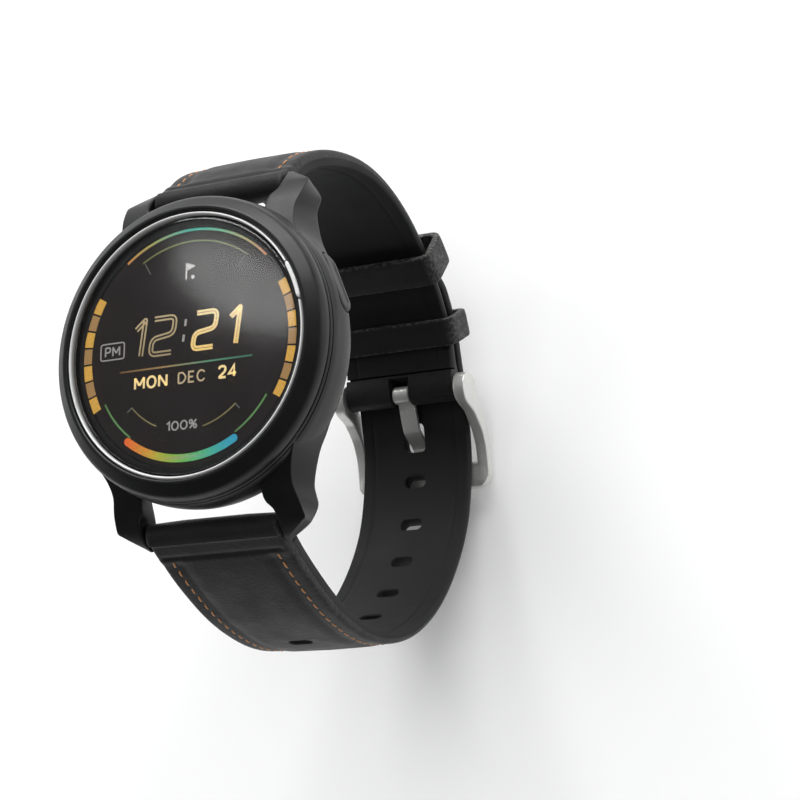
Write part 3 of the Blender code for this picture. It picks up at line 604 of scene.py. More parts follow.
def blasted_silver(name, colour, roughness, metallic=1.0):
    """Light bead-blasted metal with a faint draw along it and small bright dents."""
    paint = Paint(name, colour, roughness, metallic)
    fine = paint.noise(0.12)
    drawn = paint.noise(0.5, 2.0, (8.0, 1.0, 1.0))
    paint.roughen(drawn, roughness - 0.07, roughness + 0.08)
    paint.tint(paint.ranged(fine, 0.4, 0.8, 0.0, 0.4), (0.42, 0.42, 0.40))
    paint.bump(fine, 0.02, 0.55)
    paint.bump(drawn, 0.008, 0.4)
    return paint


def polished_steel(name):
    """Bright satin steel with fine marks round it."""
    paint = Paint(name, (0.9, 0.9, 0.89), 0.3, 0.4)
    turned_marks = paint.noise(0.25, 2.0, (1.0, 1.0, 12.0))
    paint.roughen(turned_marks, 0.26, 0.38)
    paint.bump(turned_marks, 0.004, 0.4)
    return paint


def grained_leather(name, colour, wear_and_highlight_colour, wear_and_highlight):
    """Black leather: pebble grain, pores, soft colour patches, and paler where the edges rub and where a painted
    highlight is marked.
    """
    paint = Paint(name, colour, 0.56, 0.0, 0.26)
    pebbles = paint.cells(0.42, "SMOOTH_F1")
    creases = paint.cells(1.1, "DISTANCE_TO_EDGE")
    patches = paint.noise(3.2, 4.0)
    fibre = paint.noise(0.16, rough=0.65)
    paint.tint(paint.ranged(patches, 0.35, 0.75, 0.0, 0.5), (0.018, 0.018, 0.019))
    paint.tint(paint.ranged(pebbles, 0.25, 0.6, 0.0, 0.35), (0.008, 0.008, 0.008))
    # Paler by the stored mark: rubbed wear along the straps' edges; on the keepers also a painted highlight line
    # along their edges and painted highlights at their bends.
    rub_and_highlight = paint.node("ShaderNodeMath", operation="MULTIPLY")
    paint.link(paint.attribute("wear_and_highlight"), rub_and_highlight.inputs[0])
    paint.link(paint.ranged(paint.noise(0.55, 4.0), 0.42, 0.66, 0.0, wear_and_highlight), rub_and_highlight.inputs[1])
    paint.tint(rub_and_highlight.outputs[0], wear_and_highlight_colour)
    paint.roughen(patches, 0.48, 0.62)
    paint.bump(paint.ranged(creases, 0.0, 0.12, 0.0, 1.0), 0.03, 0.35)
    paint.bump(pebbles, 0.07, 0.45)
    paint.bump(fibre, 0.02, 0.45)
    paint.set("Sheen Weight", 0.035)
    return paint


def smooth_lining(name):
    """Near-black matte lining with a fine skin and slightly polished patches."""
    paint = Paint(name, (0.0095, 0.0095, 0.01), 0.66, 0.0, 0.25)
    skin_grain = paint.noise(0.22, 4.0, rough=0.6)
    patches = paint.noise(6.0)
    paint.tint(paint.ranged(patches, 0.35, 0.7, 0.0, 0.6), (0.016, 0.016, 0.017))
    paint.roughen(patches, 0.6, 0.72)
    paint.bump(skin_grain, 0.02, 0.4)
    return paint


def thread_paint(name):
    """Waxed orange-brown thread with the twist of its strands."""
    paint = Paint(name, (0.52, 0.23, 0.07), 0.62)
    twist = paint.noise(0.13, 2.0, (1.0, 0.6, 0.6))
    paint.tint(paint.ranged(twist, 0.4, 0.7, 0.0, 0.75), (0.30, 0.105, 0.025))
    paint.bump(twist, 0.06, 0.8)
    paint.set("Sheen Weight", 0.25)
    return paint


def clear_glass(name):
    """Thin cover glass: clear face on, and mirror-like at a slant, with a faint wiped film."""
    paint = Paint(name, (0.9, 0.9, 0.9), 0.16)
    mirror = paint.node("ShaderNodeBsdfGlossy")
    mirror.inputs["Color"].default_value = (1.0, 1.0, 1.0, 1.0)
    paint.link(paint.ranged(paint.noise(7.0), 0.3, 0.7, 0.085, 0.11), mirror.inputs["Roughness"])
    clear = paint.node("ShaderNodeBsdfTransparent")
    clear.inputs["Color"].default_value = (0.97, 0.97, 0.98, 1.0)
    facing = paint.node("ShaderNodeFresnel")
    facing.inputs["IOR"].default_value = 1.46
    mix = paint.node("ShaderNodeMixShader")
    paint.link(facing.outputs["Fac"], mix.inputs["Fac"])
    paint.link(clear.outputs["BSDF"], mix.inputs[1])
    paint.link(mirror.outputs["BSDF"], mix.inputs[2])
    paint.link(mix.outputs["Shader"], paint.tree.nodes["Material Output"].inputs["Surface"])
    paint.tree.nodes.remove(paint.shader)
    return paint


def panel_paint(name):
    """The lit screen's dark ground, warm grey, with its pixel grid and a slow mottle."""
    paint = Paint(name, (0.008, 0.0063, 0.006), 0.34, 0.0, 0.2)
    mottle = paint.noise(9.0, 2.0)
    paint.tint(paint.ranged(mottle, 0.3, 0.7, 0.0, 0.6), (0.012, 0.0097, 0.009))
    paint.bump(paint.cells(0.12), 0.004, 0.3)
    paint.set("Emission Color", (0.03, 0.022, 0.019, 1.0))
    paint.set("Emission Strength", 0.24)
    return paint


def ink_paint(name):
    """Lit picture elements: each piece's own colour with a fine dot screen."""
    paint = Paint(name, (0.5, 0.5, 0.5), 0.45)
    scaled = paint.node("ShaderNodeVectorMath", operation="SCALE")
    paint.link(paint.attribute("ink", "Color"), scaled.inputs[0])
    paint.link(paint.ranged(paint.cells(0.16), 0.1, 0.6, 1.0, 0.72), scaled.inputs["Scale"])
    for target in ("Base Color", "Emission Color"):
        paint.link(scaled.outputs["Vector"], paint.shader.inputs[target])
    paint.set("Emission Strength", 0.75)
    return paint


def moulded(name, colour, roughness=0.5, size=0.2, metallic=0.0):
    """A plain inner material with moulded or cast grain."""
    paint = Paint(name, colour, roughness, metallic)
    grain = paint.noise(size)
    patches = paint.noise(3.0)
    paint.tint(paint.ranged(patches, 0.35, 0.75, 0.0, 0.5), tuple(c * 0.6 for c in colour))
    paint.roughen(grain, roughness - 0.06, roughness + 0.08)
    paint.bump(grain, 0.02, 0.4)
    return paint


def board_paint(name):
    """Green solder mask with copper tracks showing paler through it."""
    paint = moulded(name, (0.012, 0.09, 0.045), 0.38, 0.1)
    tracks = paint.node("ShaderNodeTexBrick")
    tracks.inputs["Scale"].default_value = 350.0
    tracks.inputs["Mortar Size"].default_value = 0.045
    paint.link(paint.place, tracks.inputs["Vector"])
    paint.tint(tracks.outputs["Fac"], (0.05, 0.2, 0.08))
    paint.bump(tracks.outputs["Fac"], 0.03, 0.5)
    return paint


# Case

def lug_section(y):
    """A lug's outline across y: a sloping dial face, a crisp edge, and a flank that twists towards its tip."""
    top, bottom, edge, foot, inner = [level(c, y) for c in (LUG_TOP, LUG_BOTTOM, LUG_EDGE, LUG_FOOT, LUG_HOOD)]
    drop = min(ramp(y, 12.0, 19.0, 0.15, 0.5), (top - bottom) * 0.3)
    corners = [(LUG_INNER_X, bottom), (inner, top), (edge, top - drop), (foot, bottom)]
    thin = min(1.0, (top - bottom) / 2.0, (edge - inner) / 1.5)
    return [(x, y, z) for x, z in filleted(corners, [r * thin for r in LUG_ROUNDING], 6)]


def lug(name, side_x, side_y):
    rings = [[(side_x * x, side_y * y, z) for x, y, z in lug_section(y)] for y in LUG_STATIONS]
    return loft(name, rings)


def to_button():
    """The matrix that lays a piece made along +X on the button's own radius."""
    return Matrix.Rotation(BUTTON_ANGLE, 4, "Z") @ Matrix.Translation((0, 0, BUTTON_Z * MM))


def pill(margin):
    half_length = BUTTON_LENGTH / 2 + margin
    half_height = BUTTON_HEIGHT / 2 + margin
    return rounded_box(-half_length, -half_height, half_length, half_height, half_height - 0.001, 14)


def swell_flank(case):
    """Raises the flank a little round the button, so that the cap sits flush in it."""
    for vertex in case.data.vertices:
        radius = vertex.co.xy.length / MM
        if radius > SEAM_R - 0.1:
            turn = math.atan2(vertex.co.y, vertex.co.x) - BUTTON_ANGLE
            z = vertex.co.z / MM
            height = ramp(z, *SWELL_RISES, 0.0, 1.0) * ramp(z, *SWELL_FALLS, 1.0, 0.0)
            lift = FLANK_SWELL * bell(turn ** 2, 0.0, FLANK_SWELL_ANGLE ** 2) * height
            vertex.co.xy *= (radius + lift) / radius


def case_body(paint):
    case = turned("case_body", filleted(*CASE_SHAPE))
    swell_flank(case)
    lugs = [lug(f"lug_{x}_{y}", x, y) for x in (-1, 1) for y in (-1, 1)]
    room = [cylinder("bezel_clearance", SEAM_R, SEAM_Z, 14.0, (0, 0), "Z", TURN_STEPS),
            cylinder("bore_clearance", BORE_R + 1.0, -1.0, 14.0, (0, 0), "Z", TURN_STEPS)]
    for each in lugs:
        combine(each, room, "DIFFERENCE", keep=each is not lugs[-1])
    join(case, *lugs)
    holes = [cylinder(f"bar_hole_{side}", BAR_HOLE_R, -BAR_HOLE_X, BAR_HOLE_X, (side * BAR_Y, BAR_Z))
             for side in (-1, 1)]
    cut(case, slab("pocket", pill(BUTTON_GROOVE), POCKET_FLOOR_R, 25.0, True, to_button()), *holes)
    finished(case, paint, "case", "case_black", "mid_case", angle=24.0)


def trim_pieces(paint):
    ring = turned("trim_bright_ring", filleted(*TRIM_SHAPE))
    cut(ring, slab("trim_break", arc_outline(18.0, 21.0, *TRIM_BREAK), 11.0, 13.5))
    finished(ring, paint, "case", "steel", "trim_ring")
    rings = []
    for i in range(ACCENT_STEPS + 1):
        angle = math.radians(ACCENT_START + ACCENT_SWEEP * i / ACCENT_STEPS)
        shrink = 0.12 * max(0.0, 1 - min(i, ACCENT_STEPS - i) / 2)
        low, high = 19.0 + shrink, 19.62 - shrink
        top = 12.84 - shrink
        outline = filleted([(low, 11.9), (high, 11.9), (high, top), (low, top)], [0.03, 0.03, 0.2, 0.2])
        rings.append([(*polar(r, angle), z) for r, z in outline])
    finished(loft("trim_bright_accent", rings), paint, "case", "steel", "trim_accent")


def back_plate(paint, screw_paint, gold):
    plate = turned("back_plate", filleted(*PLATE_SHAPE), 180)
    cutters = []
    for index in range(4):
        spot = polar(SCREW_RING_R, math.radians(45 + 90 * index))
        pad_spot = ((index - 1.5) * CONTACT_PITCH, CONTACT_Y)
        cutters.append(cylinder(f"screw_hole_{index}", 0.85, -1.0, 3.0, spot, "Z", 32))
        cutters.append(cylinder(f"screw_seat_{index}", 1.45, -1.0, 0.95, spot, "Z", 48))
        cutters.append(cylinder(f"contact_hole_{index}", 0.92, -1.0, 3.0, pad_spot, "Z", 40))
        screw(index, spot, screw_paint)
        pad = turned(f"contact_pad_{index + 1}", filleted(*CONTACT_SHAPE, 5), 40, "Z", (*pad_spot, 0.0))
        finished(pad, gold, "case", "gold", f"charging_contact_{index + 1}")
    cut(plate, *cutters)
    finished(plate, paint, "case", "cover_black", "back_cover")


def screw(index, spot, paint):
    """A small countersunk screw with a cross recess."""
    body = turned(f"cover_screw_{index + 1}", filleted(*SCREW_SHAPE), 48, "Z", (*spot, 0.0))
    bars = []
    for turn in (SCREW_TURN, SCREW_TURN + math.pi / 2):
        place = Matrix.Translation((spot[0] * MM, spot[1] * MM, 0)) @ Matrix.Rotation(turn, 4, "Z")
        bars.append(slab(f"recess_{index}", rounded_box(-0.72, -0.14, 0.72, 0.14, 0.1), -0.5, 0.55, turn=place))
    cut(body, *bars)
    finished(body, paint, "case", "dark_steel", f"back_cover_screw_{index + 1}")


def button_piece(paint):
    """The pill cap, its face curved with the case and its rim rounded, and its stem."""
    rings = []
    for radius, inset in BUTTON_LEVELS:
        bend = 0.0 if radius == BUTTON_BACK_R else 1.0
        rings.append([(radius - bend * (BUTTON_FACE_R - math.sqrt(BUTTON_FACE_R ** 2 - y * y)), y, z)
                      for y, z in pill(-inset)])
    cap = loft("side_button", rings)
    join(cap, cylinder("stem", STEM_R, STEM_START, BUTTON_BACK_R + 0.5, (0, 0)))
    cap.data.transform(to_button())
    finished(cap, paint, "button", "case_black", "button_cap")


# Band

def normals(path, outward):
    found = []
    for i in range(len(path)):
        run = path[min(i + 1, len(path) - 1)] - path[max(i - 1, 0)]
        found.append(outward * Vector((-run.y, run.x)).normalized())
    return found


def short_path():
    return resample(catmull(SHORT_POINTS), PATH_STEP)


def long_path():
    """The long strap's own curve, then a tail that lies along the outside of the short strap."""
    short = short_path()[::-1]
    tail = []
    for point, normal, along in zip(short, normals(short, -1), distances(short)):
        stand_off = ramp(along, 0.0, 7.0, PIN_LOOP_R, SHORT_END_THICKNESS / 2)
        if along <= TAIL_LENGTH + PATH_STEP:
            tail.append(tuple(point + normal * (stand_off + STRAP_GAP + LONG_THIN_THICKNESS / 2)))
    return resample(catmull(LONG_POINTS + tail), PATH_STEP)


class Route:
    """A strap's mid-line, with its place, outward normal, width and thickness at any distance along it."""

    def __init__(self, coarse, long):
        self.long = long
        self.dense = resample(catmull([tuple(p) for p in coarse], 12), 0.25)
        self.along = distances(self.dense)
        self.total = self.along[-1] - (PATH_STEP / 2 if long else 0.0)
        self.normal = normals(self.dense, -1 if long else 1)

    def at(self, s):
        """The place, the outward normal and the direction at a distance; it runs on straight past the ends."""
        span = self.along[-1] / (len(self.dense) - 1)
        index = min(len(self.dense) - 2, max(0, int(s / span)))
        share = s / span - index
        run = self.dense[index + 1] - self.dense[index]
        blend = min(1.0, max(0.0, share))
        normal = self.normal[index].lerp(self.normal[index + 1], blend).normalized()
        return self.dense[index] + run * share, normal, run.normalized()

    def nearest(self, spot):
        return min(self.along, key=lambda s: (self.at(s)[0] - Vector(spot)).length)

    def half_width(self, s):
        """Half the width, which narrows to the buckle end and, on the long strap, round its tip."""
        half = ramp(s, 6.0, min(self.total, 75.0), STRAP_HALF_WIDTH, STRAP_END_HALF_WIDTH)
        left = self.total - s
        if self.long and left < TIP_LENGTH:
            half *= math.sqrt(max(0.0, 1 - ((TIP_LENGTH - left) / TIP_LENGTH) ** 2)) * 0.7 + 0.3
        return half

    def half_thickness(self, s):
        thin = LONG_THIN_THICKNESS if self.long else SHORT_END_THICKNESS
        return ramp(s, 0.0, THIN_FROM, LUG_END_THICKNESS, thin) / 2

    def padding(self, s):
        """How far the padded panel stands up: none by the lug, fading out towards the buckle end."""
        if self.long:
            return ramp(s, 3.0, 5.0, 0.0, 1.0) * ramp(s, 62.0, 84.0, 1.0, 0.22)
        return ramp(s, 2.0, 3.8, 0.0, 1.0) * ramp(s, self.total - 14.0, self.total - 9.0, 1.0, 0.0)

    def drop(self, d, s):
        """How far the outer face lies under its crown, at a distance d in from the strap's edge."""
        pad = self.padding(s)
        margin = 0.24 * pad * ramp(d, 3.3, 4.6, 1.0, 0.0)
        valley = 0.16 * pad * bell(d, 3.35, 0.55)
        sewn = 0.07 * pad * bell(d, STITCH_INSET, 0.4)
        crown = 0.08 * pad * ramp(d, 4.4, 10.0, 1.0, 0.0)
        crease_at = LONG_CREASE_AT if self.long else SHORT_CREASE_AT
        crease = 0.3 * bell(s, crease_at, 0.45) * ramp(d, 0.4, 1.6, 0.2, 1.0)
        return FACE_INSET + rounded_off(d, 0.55, 0.75) + margin + valley + sewn + crown + crease


def rounded_off(d, depth, reach):
    """How far a rounded edge lies under its face, at a distance d in from the edge."""
    return depth * (1 - math.sqrt(max(0.0, 1 - max(0.0, 1 - d / reach) ** 2)))


def strap_ring(route, s, width, face, back):
    """A closed outline across the strap; face and back give heights over the mid-line by x."""
    point, normal, _ = route.at(s)
    squeeze = min(1.0, width / (EDGE_DISTANCES[-1] + 0.4))
    right = [width - d * squeeze for d in EDGE_DISTANCES]
    heights = [(x, face(x)) for x in [-x for x in right] + [0.0] + right[::-1]]
    heights += [(x, back(x)) for x in (width, width * 0.5, 0.0, -width * 0.5, -width)]
    return [(x, *(point + normal * height)) for x, height in heights]


def strap_stations(start, end, extra=()):
    count = max(2, round((end - start) / STRAP_STEP))
    marks = {start + (end - start) * i / count for i in range(count + 1)}
    marks.update(s for s in extra if start < s < end)
    ordered = sorted(marks)
    return [s for i, s in enumerate(ordered) if i == 0 or s - ordered[i - 1] > 0.04]


def leather_ring(route, s, under=FINE / 2):
    """The outer face, over its flat underside."""
    width = route.half_width(s)
    half = route.half_thickness(s)
    if not route.long:
        half += ramp(s, route.total - 5.5, route.total - 2.2, 0.0, PIN_LOOP_R - half)
    return strap_ring(route, s, width, lambda x: half - route.drop(width - abs(x), s), lambda x: under)


def loop_ring(route, at, half, width):
    """The same face on both sides, for the roll round a bar."""
    def face(x):
        return max(0.01, half - min(rounded_off(width - abs(x), 0.35, 0.5), half * 0.6))

    def back(x):
        return -max(0.01, half - (min(0.3, half * 0.5) if abs(x) == width else 0.0))
    return strap_ring(route, at, width, face, back)


def rolled_end(route, s, radius, width):
    """Rings for the half-round end where the leather goes round a bar, at the strap's start or its end."""
    way = -1 if s < 1.0 else 1
    rings = [loop_ring(route, s + way * share * radius, radius * math.sqrt(1 - share * share), width)
             for share in ROLL_SHARES]
    return rings[::-way]


def strap_leather(name, route, paint, node):
    total = route.total
    rings = rolled_end(route, 0.0, BAR_LOOP_R, STRAP_HALF_WIDTH)
    for s in strap_stations(0.4, LINING_START - 0.25, [0.7 + 0.15 * i for i in range(17)]):
        rings.append(leather_ring(route, s, FINE - route.half_thickness(s)))
    end = total if route.long else total - LINING_END + 0.25
    extra = [LINING_START - 0.1 + 0.25 * i for i in range(10)]
    if route.long:
        extra += [total - TIP_LENGTH * share for share in TIP_SHARES]
    rings += [leather_ring(route, s) for s in strap_stations(LINING_START - 0.2, end, extra)]
    if not route.long:
        for s in strap_stations(end + 0.05, total - 0.3):
            rings.append(leather_ring(route, s, -ramp(s, end, total - 1.5, 1.3, PIN_LOOP_R)))
        rings += rolled_end(route, total, PIN_LOOP_R, STRAP_END_HALF_WIDTH)
    obj = loft(name, rings)
    y = -BAR_Y if route.long else BAR_Y
    tools = [cylinder(f"{name}_bar_bore", LOOP_BORE_R, -20, 20, (y, BAR_Z)),
             block(f"{name}_window", (5.4, y - 1.0, BAR_Z - 4.0), (9.6, y + 1.0, BAR_Z))]
    if route.long:
        tools += hole_cutters(route, name)
    else:
        tools.append(cylinder(f"{name}_pin_bore", LOOP_BORE_R, -20, 20, PIN))
        notch = NOTCH_WIDTH / 2
        tools.append(block(f"{name}_notch", (-notch, PIN[0] - 4, PIN[1] - 4), (notch, PIN[0] + 2.6, PIN[1] + 3)))
    cut(obj, *tools)
    mark_wear_and_highlight(obj, lambda co: 0.25 * ramp(STRAP_HALF_WIDTH - abs(co.x), 0.0, 1.0, 1.0, 0.0))
    finished(obj, paint, "band", "leather_black", node, angle=40.0)


def lining_ring(route, s, flap):
    """The inner face with its moulded line near each edge, and the step of the turned-over flap."""
    width = route.half_width(s)
    half = route.half_thickness(s)

    def face(x):
        d = width - abs(x)
        drop = rounded_off(d, 0.3, 0.45)
        drop += 0.11 * bell(d, 2.25, 0.24) + 0.05 * ramp(d, 2.2, 2.6, 1.0, 0.0)
        if flap:
            line = flap + ramp(abs(x), width - 3.4, width - 1.2, 0.0, 1.7)
            drop += 0.3 * ramp(s, line - 0.2, line + 0.12, 1.0, 0.0)
        return drop - half
    return strap_ring(route, s, width, face, lambda x: -FINE / 2)


def strap_lining(name, route, paint, node):
    total = route.total
    if route.long:
        flap, end = 0.0, total
        extra = [total - TIP_LENGTH * share for share in TIP_SHARES]
    else:
        flap, end = total - FLAP_LENGTH, total - LINING_END
        extra = [flap - 0.4 + 0.16 * i for i in range(20)]
    obj = loft(name, [lining_ring(route, s, flap) for s in strap_stations(LINING_START, end, extra)])
    if route.long:
        cut(obj, *hole_cutters(route, name))
    finished(obj, paint, "band", "rubber_black", node, angle=40.0)


def hole_cutters(route, name):
    """Slot punches square to the strap, the first where the tongue goes through, each flared at its mouths."""
    first = route.nearest(TONGUE_CROSSING)
    side = HOLE_WIDTH / 2
    tools = []
    for index in range(HOLE_COUNT):
        s = first - HOLE_PITCH * index
        point, normal, run = route.at(s)
        end = (TONGUE_HOLE_LENGTH if index == 0 else HOLE_LENGTH) / 2
        half = route.half_thickness(s)
        rings = []
        for depth, flare in ((-3.0, 0.3), (-half - 0.02, 0.2), (-half + 0.16, 0.0), (half - 0.2, 0.0),
                             (half - 0.02, 0.22), (3.0, 0.4)):
            outline = rounded_box(-side - flare, -end - flare, side + flare, end + flare, HOLE_CORNER_R + flare, 6)
            rings.append([(x, *(point + run * along + normal * depth)) for x, along in outline])
        tools.append(loft(f"{name}_hole_{index}", rings))
    return tools


def stitch(work, place, run, side, rise):
    """A single thread stitch: a flattened capsule that dips into the leather at its ends."""
    rings = []
    for share in STITCH_SHARES:
        swell = math.sqrt(max(0.02, 1 - share ** 4))
        middle = place + run * (share * STITCH_LENGTH / 2) - rise * (STITCH_DIP * share ** 4)
        ring = []
        for k in range(STITCH_SIDES):
            across, up = polar(1.0, math.tau * k / STITCH_SIDES)
            spot = middle + side * (across * STITCH_WIDTH / 2 * swell) + rise * (up * STITCH_HEIGHT / 2 * swell)
            ring.append(work.verts.new(spot * MM))
        rings.append(ring)
    skin(work, rings)


def stitching(name, route, start, end, paint):
    work = bmesh.new()
    for index in range(int((end - start) / STITCH_PITCH)):
        s = start + STITCH_PITCH * index
        point, normal, run = route.at(s)
        spot = point + normal * (route.half_thickness(s) - route.drop(STITCH_INSET, s) + 0.03)
        along = Vector((0.0, run.x, run.y))
        up = Vector((0.0, normal.x, normal.y))
        for side in (-1, 1):
            across = Vector((side, 0.0, 0.0))
            place = Vector((side * (route.half_width(s) - STITCH_INSET), spot.x, spot.y))
            stitch(work, place, (along + across * STITCH_SLANT).normalized(), across, up)
    finished(mesh_from(name, work), paint, "band", "leather_black", angle=60.0)


def keeper_loop(name, route, values, paint, body, node):
    """A leather loop round both straps: a rounded wall swept round a rounded rectangle."""
    along, length, play = values
    point, normal, run = route.at(route.total - along)
    outward = Vector((run.y, -run.x))
    if outward.dot(normal) < 0:
        outward = -outward
    low = -SHORT_END_THICKNESS / 2 - play
    high = SHORT_END_THICKNESS / 2 + 0.3 + LONG_THIN_THICKNESS + play
    half = STRAP_END_HALF_WIDTH + KEEPER_SIDE_PLAY
    wall = KEEPER_WALL
    inner = rounded_box(-half, low, half, high, KEEPER_INNER_R, KEEPER_CORNER_STEPS)
    outer = rounded_box(-half - wall, low - wall, half + wall, high + wall, KEEPER_OUTER_R, KEEPER_CORNER_STEPS)
    section = filleted([(-length / 2, 0.0), (-length / 2, 0.93), (-length * 0.3, 1.0), (length * 0.3, 1.0),
                        (length / 2, 0.93), (length / 2, 0.0)], [0.25, 0.3, 0.6, 0.6, 0.3, 0.25], 5)
    rings = []
    for (a, b), (c, d) in zip(split_long(inner), split_long(outer)):
        rings.append([(a + (c - a) * v, *(point + outward * (b + (d - b) * v) - run * u)) for u, v in section])
    obj = loft(name, rings, loop=True)

    # Paler along both edges of the loop and at its bends: real rubbing, with a painted highlight line on the edges
    # and painted highlights at the bends.
    def rub_and_highlight(co):
        spot = Vector((co.y, co.z)) - point
        edge = length / 2 - abs(spot.dot(run))
        corner = abs(co.x) - (half - 1.0)
        return max(ramp(edge, 0.0, 0.4, 1.0, 0.0), ramp(corner, 0.4, 2.2, 0.0, 0.55))
    mark_wear_and_highlight(obj, rub_and_highlight)
    finished(obj, paint, body, "leather_black", node, angle=40.0)


def split_long(outline):
    """A rounded box with extra points on its sides, so that matching outlines stay matched."""
    steps = KEEPER_LONG_STEPS
    done = []
    for i, (a, b) in enumerate(outline):
        done.append((a, b))
        if (i + 1) % (KEEPER_CORNER_STEPS + 1) == 0:
            c, d = outline[(i + 1) % len(outline)]
            done += [(a + (c - a) * k / steps, b + (d - b) * k / steps) for k in range(1, steps)]
    return done


# Buckle

def bar_loft(name, path, radii, low_x, high_x, corner):
    """A flat bar along a path in the y-z plane, with rounded corners and round ends."""
    normal = normals(path, 1)
    half_x = (high_x - low_x) / 2
    middle = (high_x + low_x) / 2

    def cap(end, before):
        run = (path[end] - path[before]).normalized()
        return [(path[end] + run * radii[end] * share, normal[end], radii[end] * math.sqrt(1 - share ** 2))
                for share in CAP_SHARES]
    rings = []
    for point, side, radius in cap(0, 1) + list(zip(path, normal, radii)) + cap(-1, -2)[::-1]:
        outline = rounded_box(-half_x, -radius, half_x, radius, min(corner, radius * 0.8))
        rings.append([(middle + x, *(point + side * rise)) for x, rise in outline])
    return loft(name, rings)


def interpolate(value, marks, levels):
    for low, high, start, end in zip(marks, marks[1:], levels, levels[1:]):
        if value <= high:
            return start + (end - start) * ramp(value, low, high, 0.0, 1.0)
    return levels[-1]


def buckle_piece(paint, pin_paint):
    path = resample(catmull(ARM_POINTS), 0.35)
    along = distances(path)
    marks = [along[-1] * i / (len(ARM_RADII) - 1) for i in range(len(ARM_RADII))]
    radii = [interpolate(s, marks, ARM_RADII) for s in along]
    frame_piece = bar_loft("buckle_frame_piece", path, radii, ARM_INNER_X, ARM_OUTER_X, ARM_CORNER_R)
    left = bar_loft("buckle_left_arm", path, radii, -ARM_OUTER_X, -ARM_INNER_X, ARM_CORNER_R)
    bar_path = resample([Vector(p) for p in OUTER_BAR], 0.4)
    bar = bar_loft("buckle_bar", bar_path, [OUTER_BAR_R] * len(bar_path), 0.3 - ARM_OUTER_X, ARM_OUTER_X - 0.3, 0.5)
    join(frame_piece, left, bar)
    corners = rounded_box(-ARM_OUTER_X, -BUCKLE_END, ARM_OUTER_X, BUCKLE_END * 2, BUCKLE_CORNER_R, 12)
    combine(frame_piece, [slab("buckle_corners", corners, -75.0, -45.0)], "INTERSECT")
    reach = ARM_OUTER_X - 0.5
    cut(frame_piece, cylinder("buckle_bore", PIN_R + PIN_PLAY, -reach, reach, PIN))
    finished(frame_piece, paint, "buckle", "steel", "buckle_frame", angle=34.0)
    end = reach - 0.2
    outline = filleted([(0.0, -end), (PIN_R, -end), (PIN_R, end), (0.0, end)], [0.0, 0.1, 0.1, 0.0], 3)
    pin = turned("buckle_pin_piece", outline, 40, "X", (0.0, *PIN))
    finished(pin, pin_paint, "buckle", "dark_steel", "buckle_pin")


def tongue_piece(paint):
    path = resample(catmull(TONGUE_POINTS), 0.3)
    half = TONGUE_WIDTH / 2
    tongue = bar_loft("tongue_piece", path, [TONGUE_THICKNESS / 2] * len(path), -half, half, 0.2)
    outline = filleted([(0.0, -half), (TONGUE_EYE_R, -half), (TONGUE_EYE_R, half), (0.0, half)],
                       [0.0, 0.22, 0.22, 0.0])
    join(tongue, turned("tongue_eye", outline, 56, "X", (0.0, *PIN)))
    cut(tongue, cylinder("tongue_bore", PIN_R + PIN_PLAY, -3.0, 3.0, PIN),
        cylinder("tongue_fold", TONGUE_FOLD_R, -3.0, 3.0, TONGUE_FOLD))
    finished(tongue, paint, "tongue", "steel", "buckle_tongue", angle=34.0)


# Screen

def inked(obj, colour, paint):
    """Stores a colour, or a rule that gives one by place, on each point of a lit mark."""
    layer = obj.data.color_attributes.new("ink", "FLOAT_COLOR", "POINT")
    for item, vertex in zip(layer.data, obj.data.vertices):
        item.color = (*(colour(vertex.co / MM) if callable(colour) else colour), 1.0)
    finished(obj, paint, "case", "display")


def flat_mark(name, outline, colour, paint):
    inked(slab(name, outline, INK_LOW, INK_HIGH), colour, paint)


def blend_stops(stops, t):
    t = min(1.0, max(0.0, t)) * (len(stops) - 1)
    index = min(len(stops) - 2, int(t))
    share = t - index
    return tuple(a + (b - a) * share for a, b in zip(stops[index], stops[index + 1]))


def arc_mark(name, inner, outer, start, end, stops, round_ends, paint):
    """A lit arc between two radii, coloured along its length."""
    middle = (inner + outer) / 2
    half = (outer - inner) / 2
    outline = arc((0, 0), outer, start, end, 60)
    if round_ends:
        outline += arc(polar(middle, math.radians(end)), half, end, end + 180, 10)[1:-1]
    outline += arc((0, 0), inner, end, start, 60)
    if round_ends:
        outline += arc(polar(middle, math.radians(start)), half, start + 180, start + 360, 10)[1:-1]

    def colour(co):
        angle = math.degrees(math.atan2(co.y, co.x))
        while angle < min(start, end) - 20:
            angle += 360
        return blend_stops(stops, (angle - start) / (end - start))
    flat_mark(name, outline, colour, paint)


def block_marks(paint):
    """Seven amber blocks down each side, bright and dim by turns."""
    for side, first, pitch, sign in (("left", 149.5, 8.45, 1), ("right", 27.0, -8.45, -1)):
        for index in range(7):
            start = first + pitch * index
            outer, colour = (17.7, DIM_AMBER) if index % 2 else (18.0, AMBER)
            outline = arc_outline(16.35, outer, start, start + sign * 7.5, 8)
            flat_mark(f"block_{side}_{index + 1}", outline, colour, paint)


